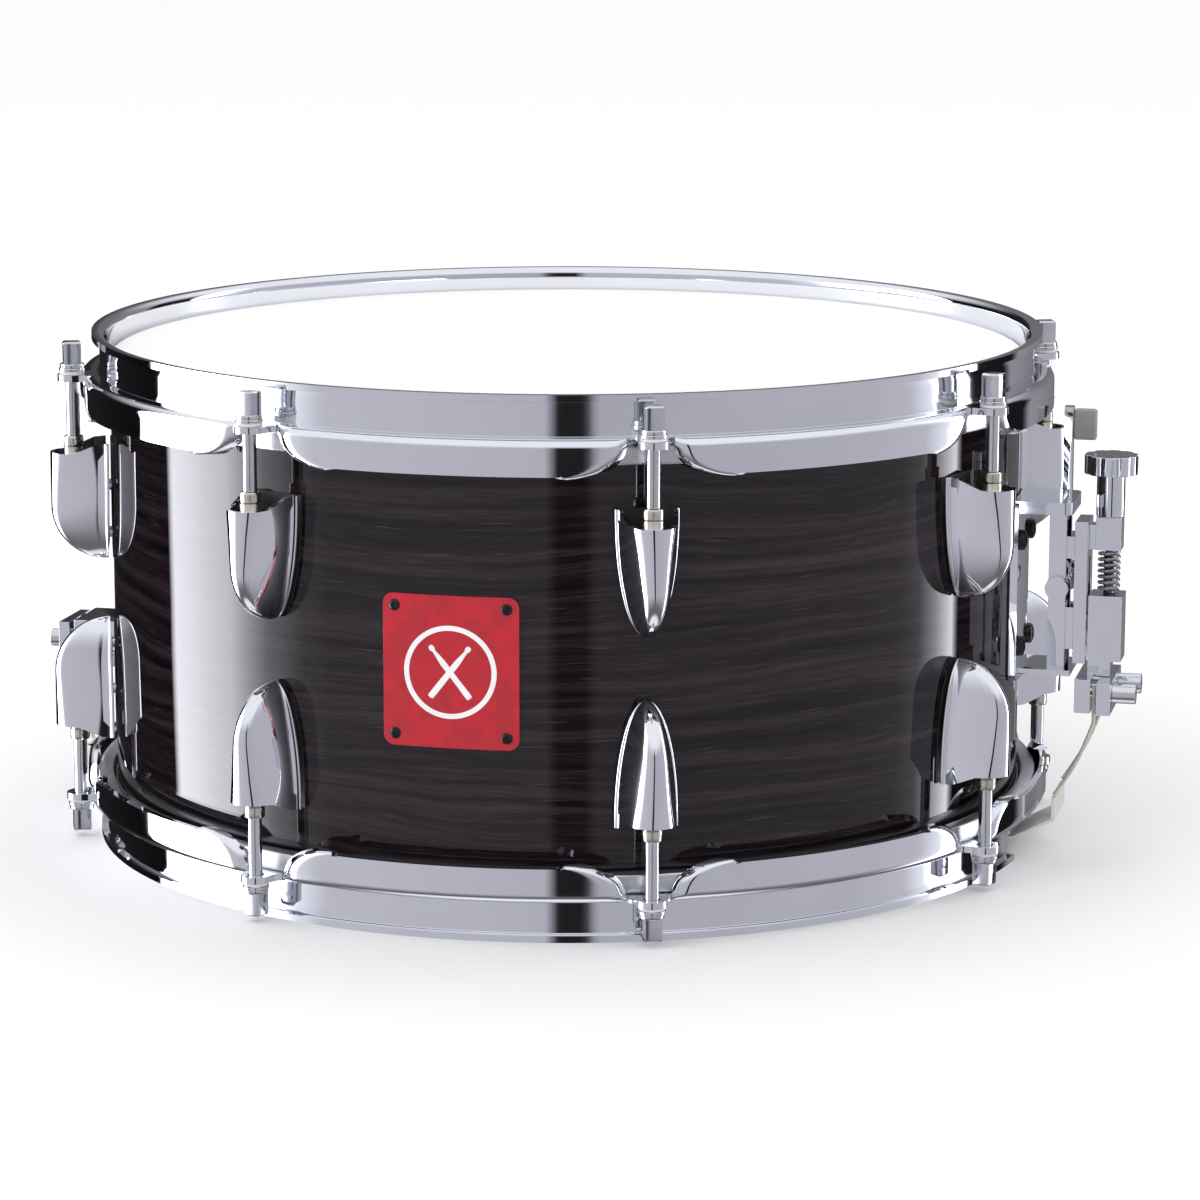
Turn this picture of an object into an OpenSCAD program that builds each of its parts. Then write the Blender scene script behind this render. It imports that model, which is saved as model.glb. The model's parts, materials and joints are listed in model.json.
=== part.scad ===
// Snare drum: a 13 x 6.5 inch wooden shell with two steel hoops, sixteen tension rods,
// a lever strainer, a butt plate and a set of twenty snare wires.
// Frame: origin on the drum's axis in the plane of the lower rim, +Z up, +X to the strainer,
// -Y to the badge. All sizes are in millimetres.

/* [Shell] */
// Outside diameter of the wooden shell
shell_d = 327; // [326:0.5:327.5]
// Wall thickness of the wooden shell
shell_t = 6.5; // [6:0.5:8]
// Overall height of the drum, rim to rim
drum_h = 182; // [180:1:184]
// Depth from the rim down to the bearing edge
rim_depth = 8.5; // [8:0.5:9]
// Diameter of the air vent in the shell
vent_d = 12; // [10:1:14]

/* [Hoops and heads] */
// Thickness of the pressed steel of the hoops
hoop_t = 2.3; // [2:0.1:2.3]
// Outside diameter of the rolled rim of a hoop
rim_d = 340; // [338:1:344]
// Outside diameter of the skirt of a hoop
skirt_d = 348.6; // [348.6:0.2:349]
// Thickness of a drum head's film
film_t = 0.4; // [0.2:0.1:0.4]

/* [Lugs and rods] */
// Lugs around each end of the drum
lug_n = 8; // [8:8]
// Diameter of the circle on which the tension rods stand
rod_circle_d = 354; // [354:0.5:354.5]
// Diameter of a tension rod
rod_d = 4.8; // [4.6:0.1:4.8]
// Width of a lug across its open end
lug_w = 21.4; // [20:0.2:22]
// Height of a lug
lug_h = 42.4; // [42:0.2:43]
// How far a lug stands out from the drum's axis
lug_reach = 185.4; // [185:0.2:187]

/* [Badge] */
// Width of the badge plate, along the shell
badge_w = 46; // [30:1:60]
// Height of the badge plate
badge_h = 51; // [30:1:60]

/* [Strainer] */
// How far the lever lets the carriage drop, for the lever's eccentric
throw_drop = 5; // [4:0.5:5]
// Diameter of the tension knob
knob_d = 19; // [16:0.5:20]
// Diameter of a snare cord
cord_d = 1.4; // [1:0.1:1.6]

/* [Snares] */
// Number of coiled snare wires
wire_n = 20; // [12:1:20]
// Outside diameter of a coiled wire
wire_d = 1.6; // [1.2:0.1:1.6]
// Free length of the wires between their end plates
wire_l = 236; // [200:2:240]

/* [Hidden] */
$fn = 96;
shell_r = shell_d / 2;
shell_top = drum_h - rim_depth;
collar_gap = 0.3;
film_r = shell_r + collar_gap;
wall_r = shell_r + 1.3;
skirt_r = skirt_d / 2;
rim_r = rim_d / 2;
ledge_top = drum_h - 14;
ledge_low = ledge_top - hoop_t;
skirt_low = drum_h - 26.5;
flesh_low = drum_h - 23;
flesh_r = 170.4;
rod_r = rod_circle_d / 2;
rod_low = 122;
ear_r = 5.2;
nylon_d = 8.8;
steel_d = 9.2;
gasket_t = 0.5;
lug_top = 144;
lug_low = lug_top - lug_h;
lug_back = shell_r + gasket_t;
lug_base = 171;
lug_wall = 1.7;
keel_top_w = 13.8;
keel_tip_w = 4.4;
lug_screw_z = [128, 111];
badge_mid = 88.9;
badge_corner = 3.5;
badge_t = 0.8;
half_step = 180 / lug_n;
lug_angles = [for (i = [0 : lug_n - 1]) half_step + 360 / lug_n * i];

// Strainer: distances out from the drum's axis (x) and heights (z)
plate_r = shell_r + gasket_t;
plate_t = 2.6;
base_low = 62;
base_top = 126.6;
base_half = 15;
cap_x = 184.6;
cap_t = 4.4;
cap_half = 14;
sill_z = 64.5;
sill_t = 2;
post_x = [176, 182];
post_y = [6, 8.2];
frame_screw_y = [-11.5, 11.5];
frame_screw_z = [74.5, 112.5];
inner_seat = shell_r - shell_t - 1;
shaft = [179.2, 95.5];
shaft_d = 5;
lobe_r = 3.2;
slide_half = 5.9;
web_x = [184.9, 189.5];
web_z = [68.4, 119];
web_slot = 3.5;
knob_x = 196.3;
boss_w = 9;
boss_z = [108.6, 120.3];
stem_d = 4;
stem_low = 74;
block_x = [190, 201.8];
block_z = [69.2, 92.6];
jaw_half = 17;
jaw_z = [52.6, 64.6];
back_jaw_x = [187, 192.6];
front_jaw_x = [194.6, 199.6];
cord_x = 193.6;
clamp_screw_y = 9;
run_gap = 0.1;

// Snare cords of the strainer side: out of the clamp, down and in to the strap
cord_route = [[193.6, 14, 62], [193.6, 14, 48.4], [193, 14, 46.6], [187.4, 13.2, 33.2], [180.2, 12.2, 21.4]];
// Snare cords of the butt side
butt_route = [[186.4, 9, 63], [186.4, 9, 47], [186, 9, 45], [182.8, 8.7, 32], [180, 8.4, 21.4]];
cord_sides = 8;
strap_x = [179.3, 180.8];
strap_half = 13.6;
strap_z = [12.4, 20.5];
strap_t = 0.8;
strap_in_z = 5;
strap_in_x = 123;
end_plate_l = 16;
end_plate_half = 23;
end_plate_t = 1;
wire_z = rim_depth - film_t - 0.1 - wire_d / 2;
wire_pitch = 2.2;
butt_x = 167.6;
butt_half = 19.5;
butt_screw = [15.6, 58.6];
butt_seat = inner_seat - 0.6;  // the curved wall is nearer the axis this far off the middle
butt_z = [44, 73];
butt_block_x = 185.4;
butt_jaw_x = [187.4, 191.4];
butt_jaw_half = 12;

// ---------------------------------------------------------------- helpers

// A plain ring about the Z axis
module ring(r_in, r_out, z_low, z_high) {
    translate([0, 0, z_low])
        difference() {
            cylinder(r = r_out, h = z_high - z_low, $fn = 180);
            translate([0, 0, -1])
                cylinder(r = r_in, h = z_high - z_low + 2, $fn = 180);
        }
}

// A box between two corners
module block(low, high) {
    translate(low)
        cube(high - low);
}

// The drum's lower half is its upper half upside down
module lower_end() {
    translate([0, 0, drum_h])
        mirror([0, 0, 1])
            children();
}

// Copies around the drum at the lug angles
module at_lugs() {
    for (a = lug_angles)
        rotate([0, 0, a])
            children();
}

module both_ends() {
    children();
    lower_end()
        children();
}

// Raises an outline drawn in (across, up) outwards along +X from x_low to x_high
module radial(x_low, x_high) {
    translate([x_low, 0, 0])
        rotate([90, 0, 90])
            linear_extrude(height = x_high - x_low)
                children();
}

// Raises an outline drawn in (out, up) across Y, centred on y = 0
module across(half) {
    translate([0, half, 0])
        rotate([90, 0, 0])
            linear_extrude(height = 2 * half)
                children();
}

// A cylinder along +X
module x_cyl(d, x_low, x_high, y, z) {
    translate([x_low, y, z])
        rotate([0, 90, 0])
            cylinder(d = d, h = x_high - x_low, $fn = 48);
}

// A cylinder along +Y
module y_cyl(d, y_low, y_high, x, z) {
    translate([x, y_low, z])
        rotate([-90, 0, 0])
            cylinder(d = d, h = y_high - y_low, $fn = 48);
}

module rounded_box(w, h, r) {
    square([w - 2 * r, h], center = true);
    square([w, h - 2 * r], center = true);
    for (sx = [-1, 1], sy = [-1, 1])
        translate([sx * (w / 2 - r), sy * (h / 2 - r)])
            circle(r = r, $fn = 32);
}

// ---------------------------------------------------------------- shell and heads

module shell() {
    inner_r = shell_r - shell_t;
    edge_r = shell_r - 2;
    section = [
        [inner_r, rim_depth + shell_t - 2], [edge_r, rim_depth], [shell_r, rim_depth + 1.6],
        [shell_r, shell_top - 1.6], [edge_r, shell_top], [inner_r, shell_top - shell_t + 2]];
    bed_r = 320;
    bed_depth = 2.4;
    color([0.13, 0.11, 0.11])
        difference() {
            rotate_extrude($fn = 180)
                polygon(section);
            for (s = [-1, 1])
                translate([s * shell_r - 10, 0, rim_depth + bed_depth - bed_r])
                    rotate([0, 90, 0])
                        cylinder(r = bed_r, h = 20, $fn = 180);
            rotate([0, 0, 90])
                x_cyl(vent_d, shell_r - 12, shell_r + 5, 0, drum_h / 2);
            both_ends()
                at_lugs()
                    for (z = lug_screw_z)
                        x_cyl(4.4, shell_r - 12, shell_r + 5, 0, z);
            for (y = frame_screw_y, z = frame_screw_z)
                x_cyl(4.2, shell_r - 12, shell_r + 5, y, z);
            for (y = [-butt_screw[0], butt_screw[0]])
                rotate([0, 0, 180])
                    x_cyl(4.2, shell_r - 12, shell_r + 5, y, butt_screw[1]);
            for (sx = [-1, 1], sz = [-1, 1])
                rotate([0, 0, -90])
                    x_cyl(2, shell_r - 3, shell_r + 5, sx * (badge_w / 2 - 4), badge_mid + sz * (badge_h / 2 - 4));
        }
}

module vent_grommet() {
    color("silver")
        rotate([0, 0, 90])
            translate([0, 0, drum_h / 2])
                rotate([0, 90, 0])
                    difference() {
                        union() {
                            translate([0, 0, shell_r - shell_t - 1.2])
                                cylinder(d = vent_d, h = shell_t + 1.6);
                            translate([0, 0, shell_r])
                                cylinder(d = vent_d + 7, h = 1.4);
                            translate([0, 0, shell_r - shell_t - 1.6])
                                cylinder(d = vent_d + 4, h = 1.2);
                        }
                        translate([0, 0, shell_r - 15])
                            cylinder(d = vent_d - 3, h = 30);
                    }
}

module badge_plate() {
    color("crimson")
        rotate([0, 0, -90])
            intersection() {
                ring(shell_r, shell_r + badge_t, 0, drum_h);
                difference() {
                    radial(shell_r - 8, shell_r + 8)
                        translate([0, badge_mid])
                            rounded_box(badge_w, badge_h, badge_corner);
                    badge_holes(2.2);
                }
            }
}

module badge_holes(d) {
    for (sx = [-1, 1], sz = [-1, 1])
        x_cyl(d, shell_r - 3, shell_r + 8, sx * (badge_w / 2 - 4), badge_mid + sz * (badge_h / 2 - 4));
}

module badge_screws() {
    color("dimgray")
        rotate([0, 0, -90])
            for (sx = [-1, 1], sz = [-1, 1]) {
                y = sx * (badge_w / 2 - 4);
                z = badge_mid + sz * (badge_h / 2 - 4);
                face = sqrt(pow(shell_r + badge_t, 2) - y * y);
                x_cyl(1.9, shell_r - 2.5, face + 0.8, y, z);
                x_cyl(4.5, face + 0.25, face + 1.3, y, z);
            }
}

// A film drawn over the bearing edge and down into its flesh hoop
module upper_film() {
    rotate_extrude($fn = 180)
        polygon([
            [0, shell_top], [shell_r - 1.4, shell_top], [film_r, shell_top - 1.4],
            [film_r, flesh_low + 2], [film_r + film_t, flesh_low + 2],
            [film_r + film_t, shell_top - 1.2], [shell_r - 1.1, shell_top + film_t],
            [0, shell_top + film_t]]);
}

module upper_flesh_hoop() {
    difference() {
        ring(film_r + film_t + 0.6, flesh_r, flesh_low, ledge_low);
        ring(film_r, film_r + film_t + 2.4, flesh_low + 2, flesh_low + 4.6);
    }
    ring(film_r, film_r + film_t + 0.8, flesh_low, flesh_low + 2);
}

module batter_head() {
    color("white")
        upper_film();
}

module batter_flesh_hoop() {
    color("lightgray")
        upper_flesh_hoop();
}

module snare_side_head() {
    color("whitesmoke")
        lower_end()
            upper_film();
}

module snare_side_flesh_hoop() {
    color("lightgray")
        lower_end()
            upper_flesh_hoop();
}

// ---------------------------------------------------------------- hoops

// One side of the bell-shaped gap in the skirt, from the ledge down
function gap_side(s) = [[8.4 * s, ledge_low], [11 * s, ledge_low - 5.5], [16.5 * s, skirt_low - 1]];

// Pressed hoop: rolled rim, wall, ledge with an ear at each rod, and a skirt with a gap at each ear
module upper_hoop() {
    wall_out = wall_r + hoop_t;
    section = [
        [wall_r, ledge_low], [skirt_r - hoop_t, ledge_low], [skirt_r - hoop_t, skirt_low],
        [skirt_r, skirt_low], [skirt_r, ledge_top - 1], [skirt_r - 1, ledge_top],
        [wall_out, ledge_top], [wall_out, drum_h - hoop_t], [rim_r, drum_h - hoop_t],
        [rim_r, drum_h - 0.8], [rim_r - 0.8, drum_h], [wall_r, drum_h]];
    difference() {
        union() {
            rotate_extrude($fn = 180)
                polygon(section);
            at_lugs()
                translate([0, 0, ledge_low])
                    linear_extrude(height = hoop_t) {
                        translate([skirt_r - hoop_t - 1, -ear_r])
                            square([rod_r - skirt_r + hoop_t + 1, 2 * ear_r]);
                        translate([rod_r, 0])
                            circle(r = ear_r, $fn = 48);
                    }
        }
        at_lugs() {
            radial(skirt_r - hoop_t - 2, skirt_r + 1)
                polygon(concat(gap_side(-1), [for (i = [2 : -1 : 0]) gap_side(1)[i]]));
            translate([rod_r, 0, ledge_low - 1])
                cylinder(d = rod_d + 0.8, h = hoop_t + 2, $fn = 48);
        }
    }
}

module batter_hoop() {
    color("silver")
        upper_hoop();
}

// The lower hoop is open at both snare gates
module snare_side_hoop() {
    gate_half = 24;
    gate_top = 11.6;
    color("silver")
        difference() {
            lower_end()
                upper_hoop();
            for (s = [-1, 1])
                block([s * 168 - 9, -gate_half, -1], [s * 168 + 9, gate_half, gate_top]);
        }
}

// ---------------------------------------------------------------- lugs

// Half width of a lug's foot, t from 0 at its open end to 1 at its tip
function foot_half(t) = lug_w / 2 * sqrt(1 - pow(t, 2.2));

module lug_foot() {
    steps = 10;
    right = [for (i = [0 : steps]) [foot_half(i / steps), lug_top - lug_h * i / steps]];
    left = [for (i = [steps - 1 : -1 : 0]) [-right[i][0], right[i][1]]];
    polygon(concat(right, left));
}

// Side view of the lug: sloping mouth, straight face, round belly down to the shell
module lug_side(inset) {
    face = lug_reach - inset;
    belly_z = 121;
    low = lug_low + inset;
    steps = 10;
    back = 160;
    round_side = [for (i = [0 : steps])
        [back + 4 + (face - back - 4) * cos(90 * i / steps), belly_z - (belly_z - low) * sin(90 * i / steps)]];
    polygon(concat([[back, lug_top + inset], [lug_base, lug_top + inset], [face, lug_top - 2.6 + inset]],
        round_side, [[back, low]]));
}

module lug_keel(inset) {
    top = keel_top_w / 2 - inset;
    tip = keel_tip_w / 2 - inset * 0.7;
    polygon([[-top, lug_top + 3], [top, lug_top + 3], [top, lug_top], [tip, lug_low], [-tip, lug_low], [-top, lug_top]]);
}

module upper_lug() {
    difference() {
        intersection() {
            across(lug_w)
                lug_side(0);
            union() {
                radial(shell_r, lug_base)
                    lug_foot();
                radial(shell_r, lug_reach + 1)
                    lug_keel(0);
            }
        }
        cylinder(r = lug_back, h = drum_h, $fn = 180);
        difference() {
            intersection() {
                across(lug_w)
                    lug_side(lug_wall);
                radial(lug_back + 3, lug_reach)
                    lug_keel(lug_wall);
            }
            block([lug_base, -lug_w, 134.6], [lug_reach, lug_w, 137.6]);
        }
        translate([rod_r, 0, 130])
            cylinder(d = 7.1, h = 20, $fn = 48);
        for (z = lug_screw_z)
            x_cyl(3.9, shell_r - 2, lug_back + 2.8, 0, z);
    }
}

module upper_lugs() {
    color("silver")
        at_lugs()
            upper_lug();
}

module lower_lugs() {
    color("silver")
        lower_end()
            at_lugs()
                upper_lug();
}

module lug_gaskets() {
    color([0.08, 0.08, 0.08])
        both_ends()
            at_lugs()
                difference() {
                    intersection() {
                        ring(shell_r, lug_back, 0, drum_h);
                        radial(shell_r - 3, shell_r + 4)
                            lug_foot();
                    }
                    for (z = lug_screw_z)
                        x_cyl(4.4, shell_r - 3, shell_r + 5, 0, z);
                }
}

module lug_screws() {
    color("silver")
        both_ends()
            at_lugs()
                for (z = lug_screw_z) {
                    x_cyl(3.9, inner_seat, lug_back + 2.8, 0, z);
                    x_cyl(8, inner_seat - 2.4, inner_seat, 0, z);
                }
}

module lug_screw_washers() {
    color("gray")
        both_ends()
            at_lugs()
                for (z = lug_screw_z)
                    difference() {
                        x_cyl(10, inner_seat, inner_seat + 0.9, 0, z);
                        x_cyl(4.4, inner_seat - 1, inner_seat + 2, 0, z);
                    }
}

module swivel_nuts() {
    color([0.86, 0.8, 0.66])
        both_ends()
            at_lugs()
                translate([rod_r, 0, 131])
                    difference() {
                        union() {
                            cylinder(d = 6.9, h = 15, $fn = 48);
                            translate([0, 0, 6.6])
                                cylinder(d = 8, h = 2, $fn = 48);
                        }
                        translate([0, 0, -1])
                            cylinder(d = rod_d + 2 * run_gap, h = 20, $fn = 48);
                    }
}

// ---------------------------------------------------------------- tension rods

module washer(d, z_low, z_high) {
    at_lugs()
        translate([rod_r, 0, z_low])
            difference() {
                cylinder(d = d, h = z_high - z_low, $fn = 48);
                translate([0, 0, -1])
                    cylinder(d = rod_d + 2 * run_gap, h = z_high - z_low + 2, $fn = 48);
            }
}

module nylon_washers() {
    color("white")
        both_ends()
            washer(nylon_d, ledge_top, ledge_top + 1.1);
}

module steel_washers() {
    color("silver")
        both_ends()
            washer(steel_d, ledge_top + 1.1, ledge_top + 2.3);
}

// One rod: threaded shank, collar and square head
module upper_rod(i) {
    collar_z = ledge_top + 2.3;
    head_w = 6.3;
    head_top = drum_h - 2.4;
    rotate([0, 0, lug_angles[i]])
        translate([rod_r, 0, 0]) {
            translate([0, 0, rod_low])
                cylinder(d = rod_d, h = collar_z - rod_low + 1, $fn = 48);
            translate([0, 0, collar_z])
                cylinder(d = 8.6, h = 1.5, $fn = 48);
            block([-head_w / 2, -head_w / 2, collar_z + 1], [head_w / 2, head_w / 2, head_top]);
        }
}

module rod(end, i) {
    color("silver")
        if (end == "upper")
            upper_rod(i);
        else
            lower_end()
                upper_rod(i);
}

// ---------------------------------------------------------------- strainer

// Curved mounting plate, cap, sill and the two posts that carry the lever's shaft
module strainer_frame() {
    color("silver")
        difference() {
            union() {
                intersection() {
                    ring(plate_r, plate_r + plate_t, base_low, base_top);
                    radial(plate_r - 6, plate_r + 6)
                        translate([0, (base_low + base_top) / 2])
                            rounded_box(2 * base_half, base_top - base_low, 3);
                }
                difference() {
                    union() {
                        block([plate_r - 2, -cap_half, base_top - cap_t], [cap_x - 3, cap_half, base_top]);
                        block([plate_r, 3 - cap_half, base_top - cap_t], [cap_x, cap_half - 3, base_top]);
                        for (s = [-1, 1])
                            translate([cap_x - 3, s * (cap_half - 3), base_top - cap_t])
                                cylinder(r = 3, h = cap_t, $fn = 32);
                        block([plate_r - 1, -12, sill_z], [cap_x, 12, sill_z + sill_t]);
                    }
                    cylinder(r = plate_r, h = drum_h, $fn = 180);
                }
                for (s = [-1, 1])
                    block([post_x[0], s > 0 ? post_y[0] : -post_y[1], sill_z],
                        [post_x[1], s > 0 ? post_y[1] : -post_y[0], base_top - 1]);
            }
            y_cyl(shaft_d + 2 * run_gap, -12, 12, shaft[0], shaft[1]);
            for (y = frame_screw_y, z = frame_screw_z)
                x_cyl(4.2, plate_r - 4, plate_r + 6, y, z);
        }
}

module strainer_gasket() {
    color([0.08, 0.08, 0.08])
        difference() {
            intersection() {
                ring(shell_r, plate_r, base_low, base_top);
                radial(shell_r - 6, shell_r + 6)
                    translate([0, (base_low + base_top) / 2])
                        rounded_box(2 * base_half, base_top - base_low, 3);
            }
            for (y = frame_screw_y, z = frame_screw_z)
                x_cyl(4.2, shell_r - 4, shell_r + 6, y, z);
        }
}

module strainer_screws() {
    color("dimgray")
        for (y = frame_screw_y, z = frame_screw_z) {
            x_cyl(4, inner_seat - 1, plate_r + plate_t + 0.5, y, z);
            x_cyl(7.4, plate_r + plate_t + 0.1, plate_r + plate_t + 2.4, y, z);
            x_cyl(7.4, inner_seat - 3, inner_seat, y, z);
        }
}

// Lever bar behind the frame, keyed on the end of the shaft
module lever_arm() {
    arm_y = [14.4, 18.6];
    arm_top = 156.2;
    color("silver")
        difference() {
            union() {
                y_cyl(11, arm_y[0] - 0.2, arm_y[1], shaft[0], shaft[1]);
                block([shaft[0] - 1.6, arm_y[0], shaft[1]], [shaft[0] + 1.6, arm_y[1], arm_top]);
            }
            y_cyl(4, arm_y[0] - 1, arm_y[1] + 1, shaft[0], shaft[1]);
        }
}

// Square thumb piece at the lever's tip
module lever_grip() {
    color("gray")
        block([shaft[0] + 1.6, 14.6, 144.4], [shaft[0] + 9.8, 18.4, 155.4]);
}

// Shaft through both posts with the eccentric that lowers the carriage
module lever_shaft() {
    lobe_half = 3.1;
    color("silver") {
        y_cyl(shaft_d, -8.6, 14.2, shaft[0], shaft[1]);
        y_cyl(4, 14, 19.4, shaft[0], shaft[1]);
        y_cyl(8.2, -11.4, -8.5, shaft[0], shaft[1]);
        y_cyl(2 * lobe_r, -lobe_half, lobe_half, shaft[0], shaft[1] + throw_drop);
        block([shaft[0] - 2, -lobe_half, shaft[1]], [shaft[0] + 2, lobe_half, shaft[1] + throw_drop]);
    }
}

// Carriage: web with a slot, two guide blocks between the posts, and the boss for the knob
module carriage() {
    stop_z = 105.4;
    color("silver")
        difference() {
            union() {
                block([web_x[0], -8, web_z[0]], [web_x[1], 8, web_z[1]]);
                block([178, -slide_half, stop_z], [web_x[1], slide_half, stop_z + 8]);
                block([178, -slide_half, 73], [web_x[1], slide_half, 88]);
                block([web_x[1] - 1, -3.6, boss_z[0]], [knob_x, 3.6, boss_z[1] - 3]);
                block([knob_x - boss_w / 2, -boss_w / 2, boss_z[0]], [knob_x + boss_w / 2, boss_w / 2, boss_z[1]]);
            }
            block([web_x[0] - 0.9, -web_slot, web_z[0] - 1], [web_x[1] + 0.4, web_slot, stop_z]);
            translate([knob_x, 0, boss_z[0] - 1])
                cylinder(d = stem_d + 2 * run_gap, h = 20, $fn = 48);
        }
}

module tension_knob() {
    disc_z = [135.5, 142.2];
    scallops = 10;
    color("silver")
        translate([knob_x, 0, 0])
            difference() {
                union() {
                    translate([0, 0, disc_z[0]])
                        cylinder(d = knob_d, h = disc_z[1] - disc_z[0]);
                    translate([0, 0, boss_z[1] + 0.1])
                        cylinder(d = 10, h = disc_z[0] - boss_z[1]);
                }
                for (i = [0 : scallops - 1])
                    rotate([0, 0, 360 / scallops * i])
                        translate([knob_d / 2 + 1.1, 0, disc_z[0] - 1])
                            cylinder(r = 1.9, h = 10, $fn = 24);
                translate([0, 0, boss_z[1] - 1])
                    cylinder(d = stem_d, h = 12, $fn = 48);
            }
}

module tension_screw() {
    color("gray")
        translate([knob_x, 0, stem_low])
            cylinder(d = stem_d, h = boss_z[1] + 10 - stem_low, $fn = 48);
}

// Compression spring: its outer sleeve shape, wound as separate turns
module tension_spring() {
    turns = 7;
    low = block_z[1] + 0.1;
    high = boss_z[0] - 0.1;
    wire = 1.1;
    pitch = (high - low - wire) / (turns - 1);
    color("slategray")
        translate([knob_x, 0, 0])
            for (i = [0 : turns - 1])
                translate([0, 0, low + wire / 2 + pitch * i])
                    rotate_extrude($fn = 48)
                        translate([3.55, 0])
                            circle(d = wire, $fn = 16);
}

// Nut block that the knob raises and lowers, with the fixed jaw of the cord clamp
module tension_block() {
    tongue = [185.6, 3.3];
    color("silver")
        difference() {
            union() {
                block([block_x[0], -6.5, block_z[0]], [block_x[1], 6.5, block_z[1]]);
                block([tongue[0], -tongue[1], block_z[0] + 0.8], [block_x[0] + 1, tongue[1], 85]);
                block([190, -5, jaw_z[1] - 1], [198, 5, block_z[0] + 1]);
                block([back_jaw_x[0], -jaw_half, jaw_z[0]], [back_jaw_x[1], jaw_half, jaw_z[1]]);
            }
            translate([knob_x, 0, stem_low - 4])
                cylinder(d = stem_d + 2 * run_gap, h = 40, $fn = 48);
            for (y = [-clamp_screw_y, clamp_screw_y])
                x_cyl(3.5, back_jaw_x[0] - 1, back_jaw_x[1] + 1, y, 58.6);
        }
}

module clamp_jaw() {
    color("silver")
        difference() {
            block([front_jaw_x[0], -jaw_half, jaw_z[0] - 0.6], [front_jaw_x[1], jaw_half, jaw_z[1] - 1.2]);
            for (y = [-clamp_screw_y, clamp_screw_y])
                x_cyl(3.5, front_jaw_x[0] - 1, front_jaw_x[1] + 1, y, 58.6);
        }
}

module clamp_screws() {
    color("silver")
        for (y = [-clamp_screw_y, clamp_screw_y]) {
            x_cyl(3.4, back_jaw_x[0] - 0.6, front_jaw_x[1] + 0.5, y, 58.6);
            x_cyl(7, front_jaw_x[1], 207.8, y, 58.6);
        }
}

// ---------------------------------------------------------------- cords and snares

function unit(v) = v / norm(v);
function tangent(path, i) =
    unit(path[min(i + 1, len(path) - 1)] - path[max(i - 1, 0)]);
function ring_points(path, i, d) =
    let (t = tangent(path, i), u = unit(cross(t, [0, 1, 0])), v = cross(t, u))
    [for (k = [0 : cord_sides - 1])
        path[i] + d / 2 * (cos(360 / cord_sides * k) * u + sin(360 / cord_sides * k) * v)];

// A thin round cord swept along a route
module cord(path, d) {
    n = len(path);
    points = [for (i = [0 : n - 1], p = ring_points(path, i, d)) p];
    walls = [for (i = [0 : n - 2], k = [0 : cord_sides - 1])
        let (next = (k + 1) % cord_sides)
        [i * cord_sides + k, (i + 1) * cord_sides + k, (i + 1) * cord_sides + next, i * cord_sides + next]];
    first = [for (k = [0 : cord_sides - 1]) k];
    last = [for (k = [cord_sides - 1 : -1 : 0]) (n - 1) * cord_sides + k];
    polyhedron(points, concat(walls, [first, last]));
}

module cord_pair(route) {
    for (s = [-1, 1])
        cord([for (p = route) [p[0], s * p[1], p[2]]], cord_d);
}

module snare_cords() {
    color("ivory")
        cord_pair(cord_route);
}

module butt_cords() {
    color("ivory")
        mirror([1, 0, 0])
            cord_pair(butt_route);
}

// Strap: upright tab that the cords pull on, then a run through the gate to the wires' end plate
module strap() {
    across(strap_half)
        polygon([
            [strap_x[1], strap_z[0]], [strap_x[1], strap_z[1]], [strap_x[0], strap_z[1]],
            [strap_x[0], strap_z[0] + 0.4], [166, strap_in_z + strap_t], [strap_in_x, strap_in_z + strap_t],
            [strap_in_x, strap_in_z], [166.2, strap_in_z]]);
}

module strap_strainer() {
    color("ivory")
        strap();
}

module strap_butt() {
    color("ivory")
        mirror([1, 0, 0])
            strap();
}

module wire_plate() {
    x_low = wire_l / 2;
    seat_l = 3.4;
    low = strap_in_z - end_plate_t;
    block([x_low, -end_plate_half, low], [x_low + end_plate_l, end_plate_half, strap_in_z]);
    block([x_low, -end_plate_half, low], [x_low + seat_l, end_plate_half, wire_z - wire_d / 2]);
}

module wire_plate_strainer() {
    color("goldenrod")
        wire_plate();
}

module wire_plate_butt() {
    color("goldenrod")
        mirror([1, 0, 0])
            wire_plate();
}

module snare_wires() {
    over = 4;
    color("silver")
        for (i = [0 : wire_n - 1])
            x_cyl(wire_d, -wire_l / 2 - over, wire_l / 2 + over, (i - (wire_n - 1) / 2) * wire_pitch, wire_z);
}

// ---------------------------------------------------------------- butt plate

module butt_plate() {
    color("silver")
        rotate([0, 0, 180])
            difference() {
                union() {
                    intersection() {
                        ring(plate_r, butt_x, butt_z[0], butt_z[1]);
                        radial(plate_r - 6, plate_r + 10)
                            translate([0, (butt_z[0] + butt_z[1]) / 2])
                                rounded_box(2 * butt_half, butt_z[1] - butt_z[0], 4);
                    }
                    block([167, -butt_jaw_half, 50], [butt_block_x, butt_jaw_half, 67]);
                }
                for (y = [-butt_screw[0], butt_screw[0]])
                    x_cyl(4.2, plate_r - 4, butt_x + 6, y, butt_screw[1]);
                for (y = [-5, 5])
                    x_cyl(3.1, 176, butt_block_x + 1, y, butt_screw[1]);
            }
}

module butt_gasket() {
    color([0.08, 0.08, 0.08])
        rotate([0, 0, 180])
            difference() {
                intersection() {
                    ring(shell_r, plate_r, butt_z[0], butt_z[1]);
                    radial(shell_r - 6, shell_r + 6)
                        translate([0, (butt_z[0] + butt_z[1]) / 2])
                            rounded_box(2 * butt_half, butt_z[1] - butt_z[0], 4);
                }
                for (y = [-butt_screw[0], butt_screw[0]])
                    x_cyl(4.2, shell_r - 4, shell_r + 6, y, butt_screw[1]);
            }
}

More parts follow.
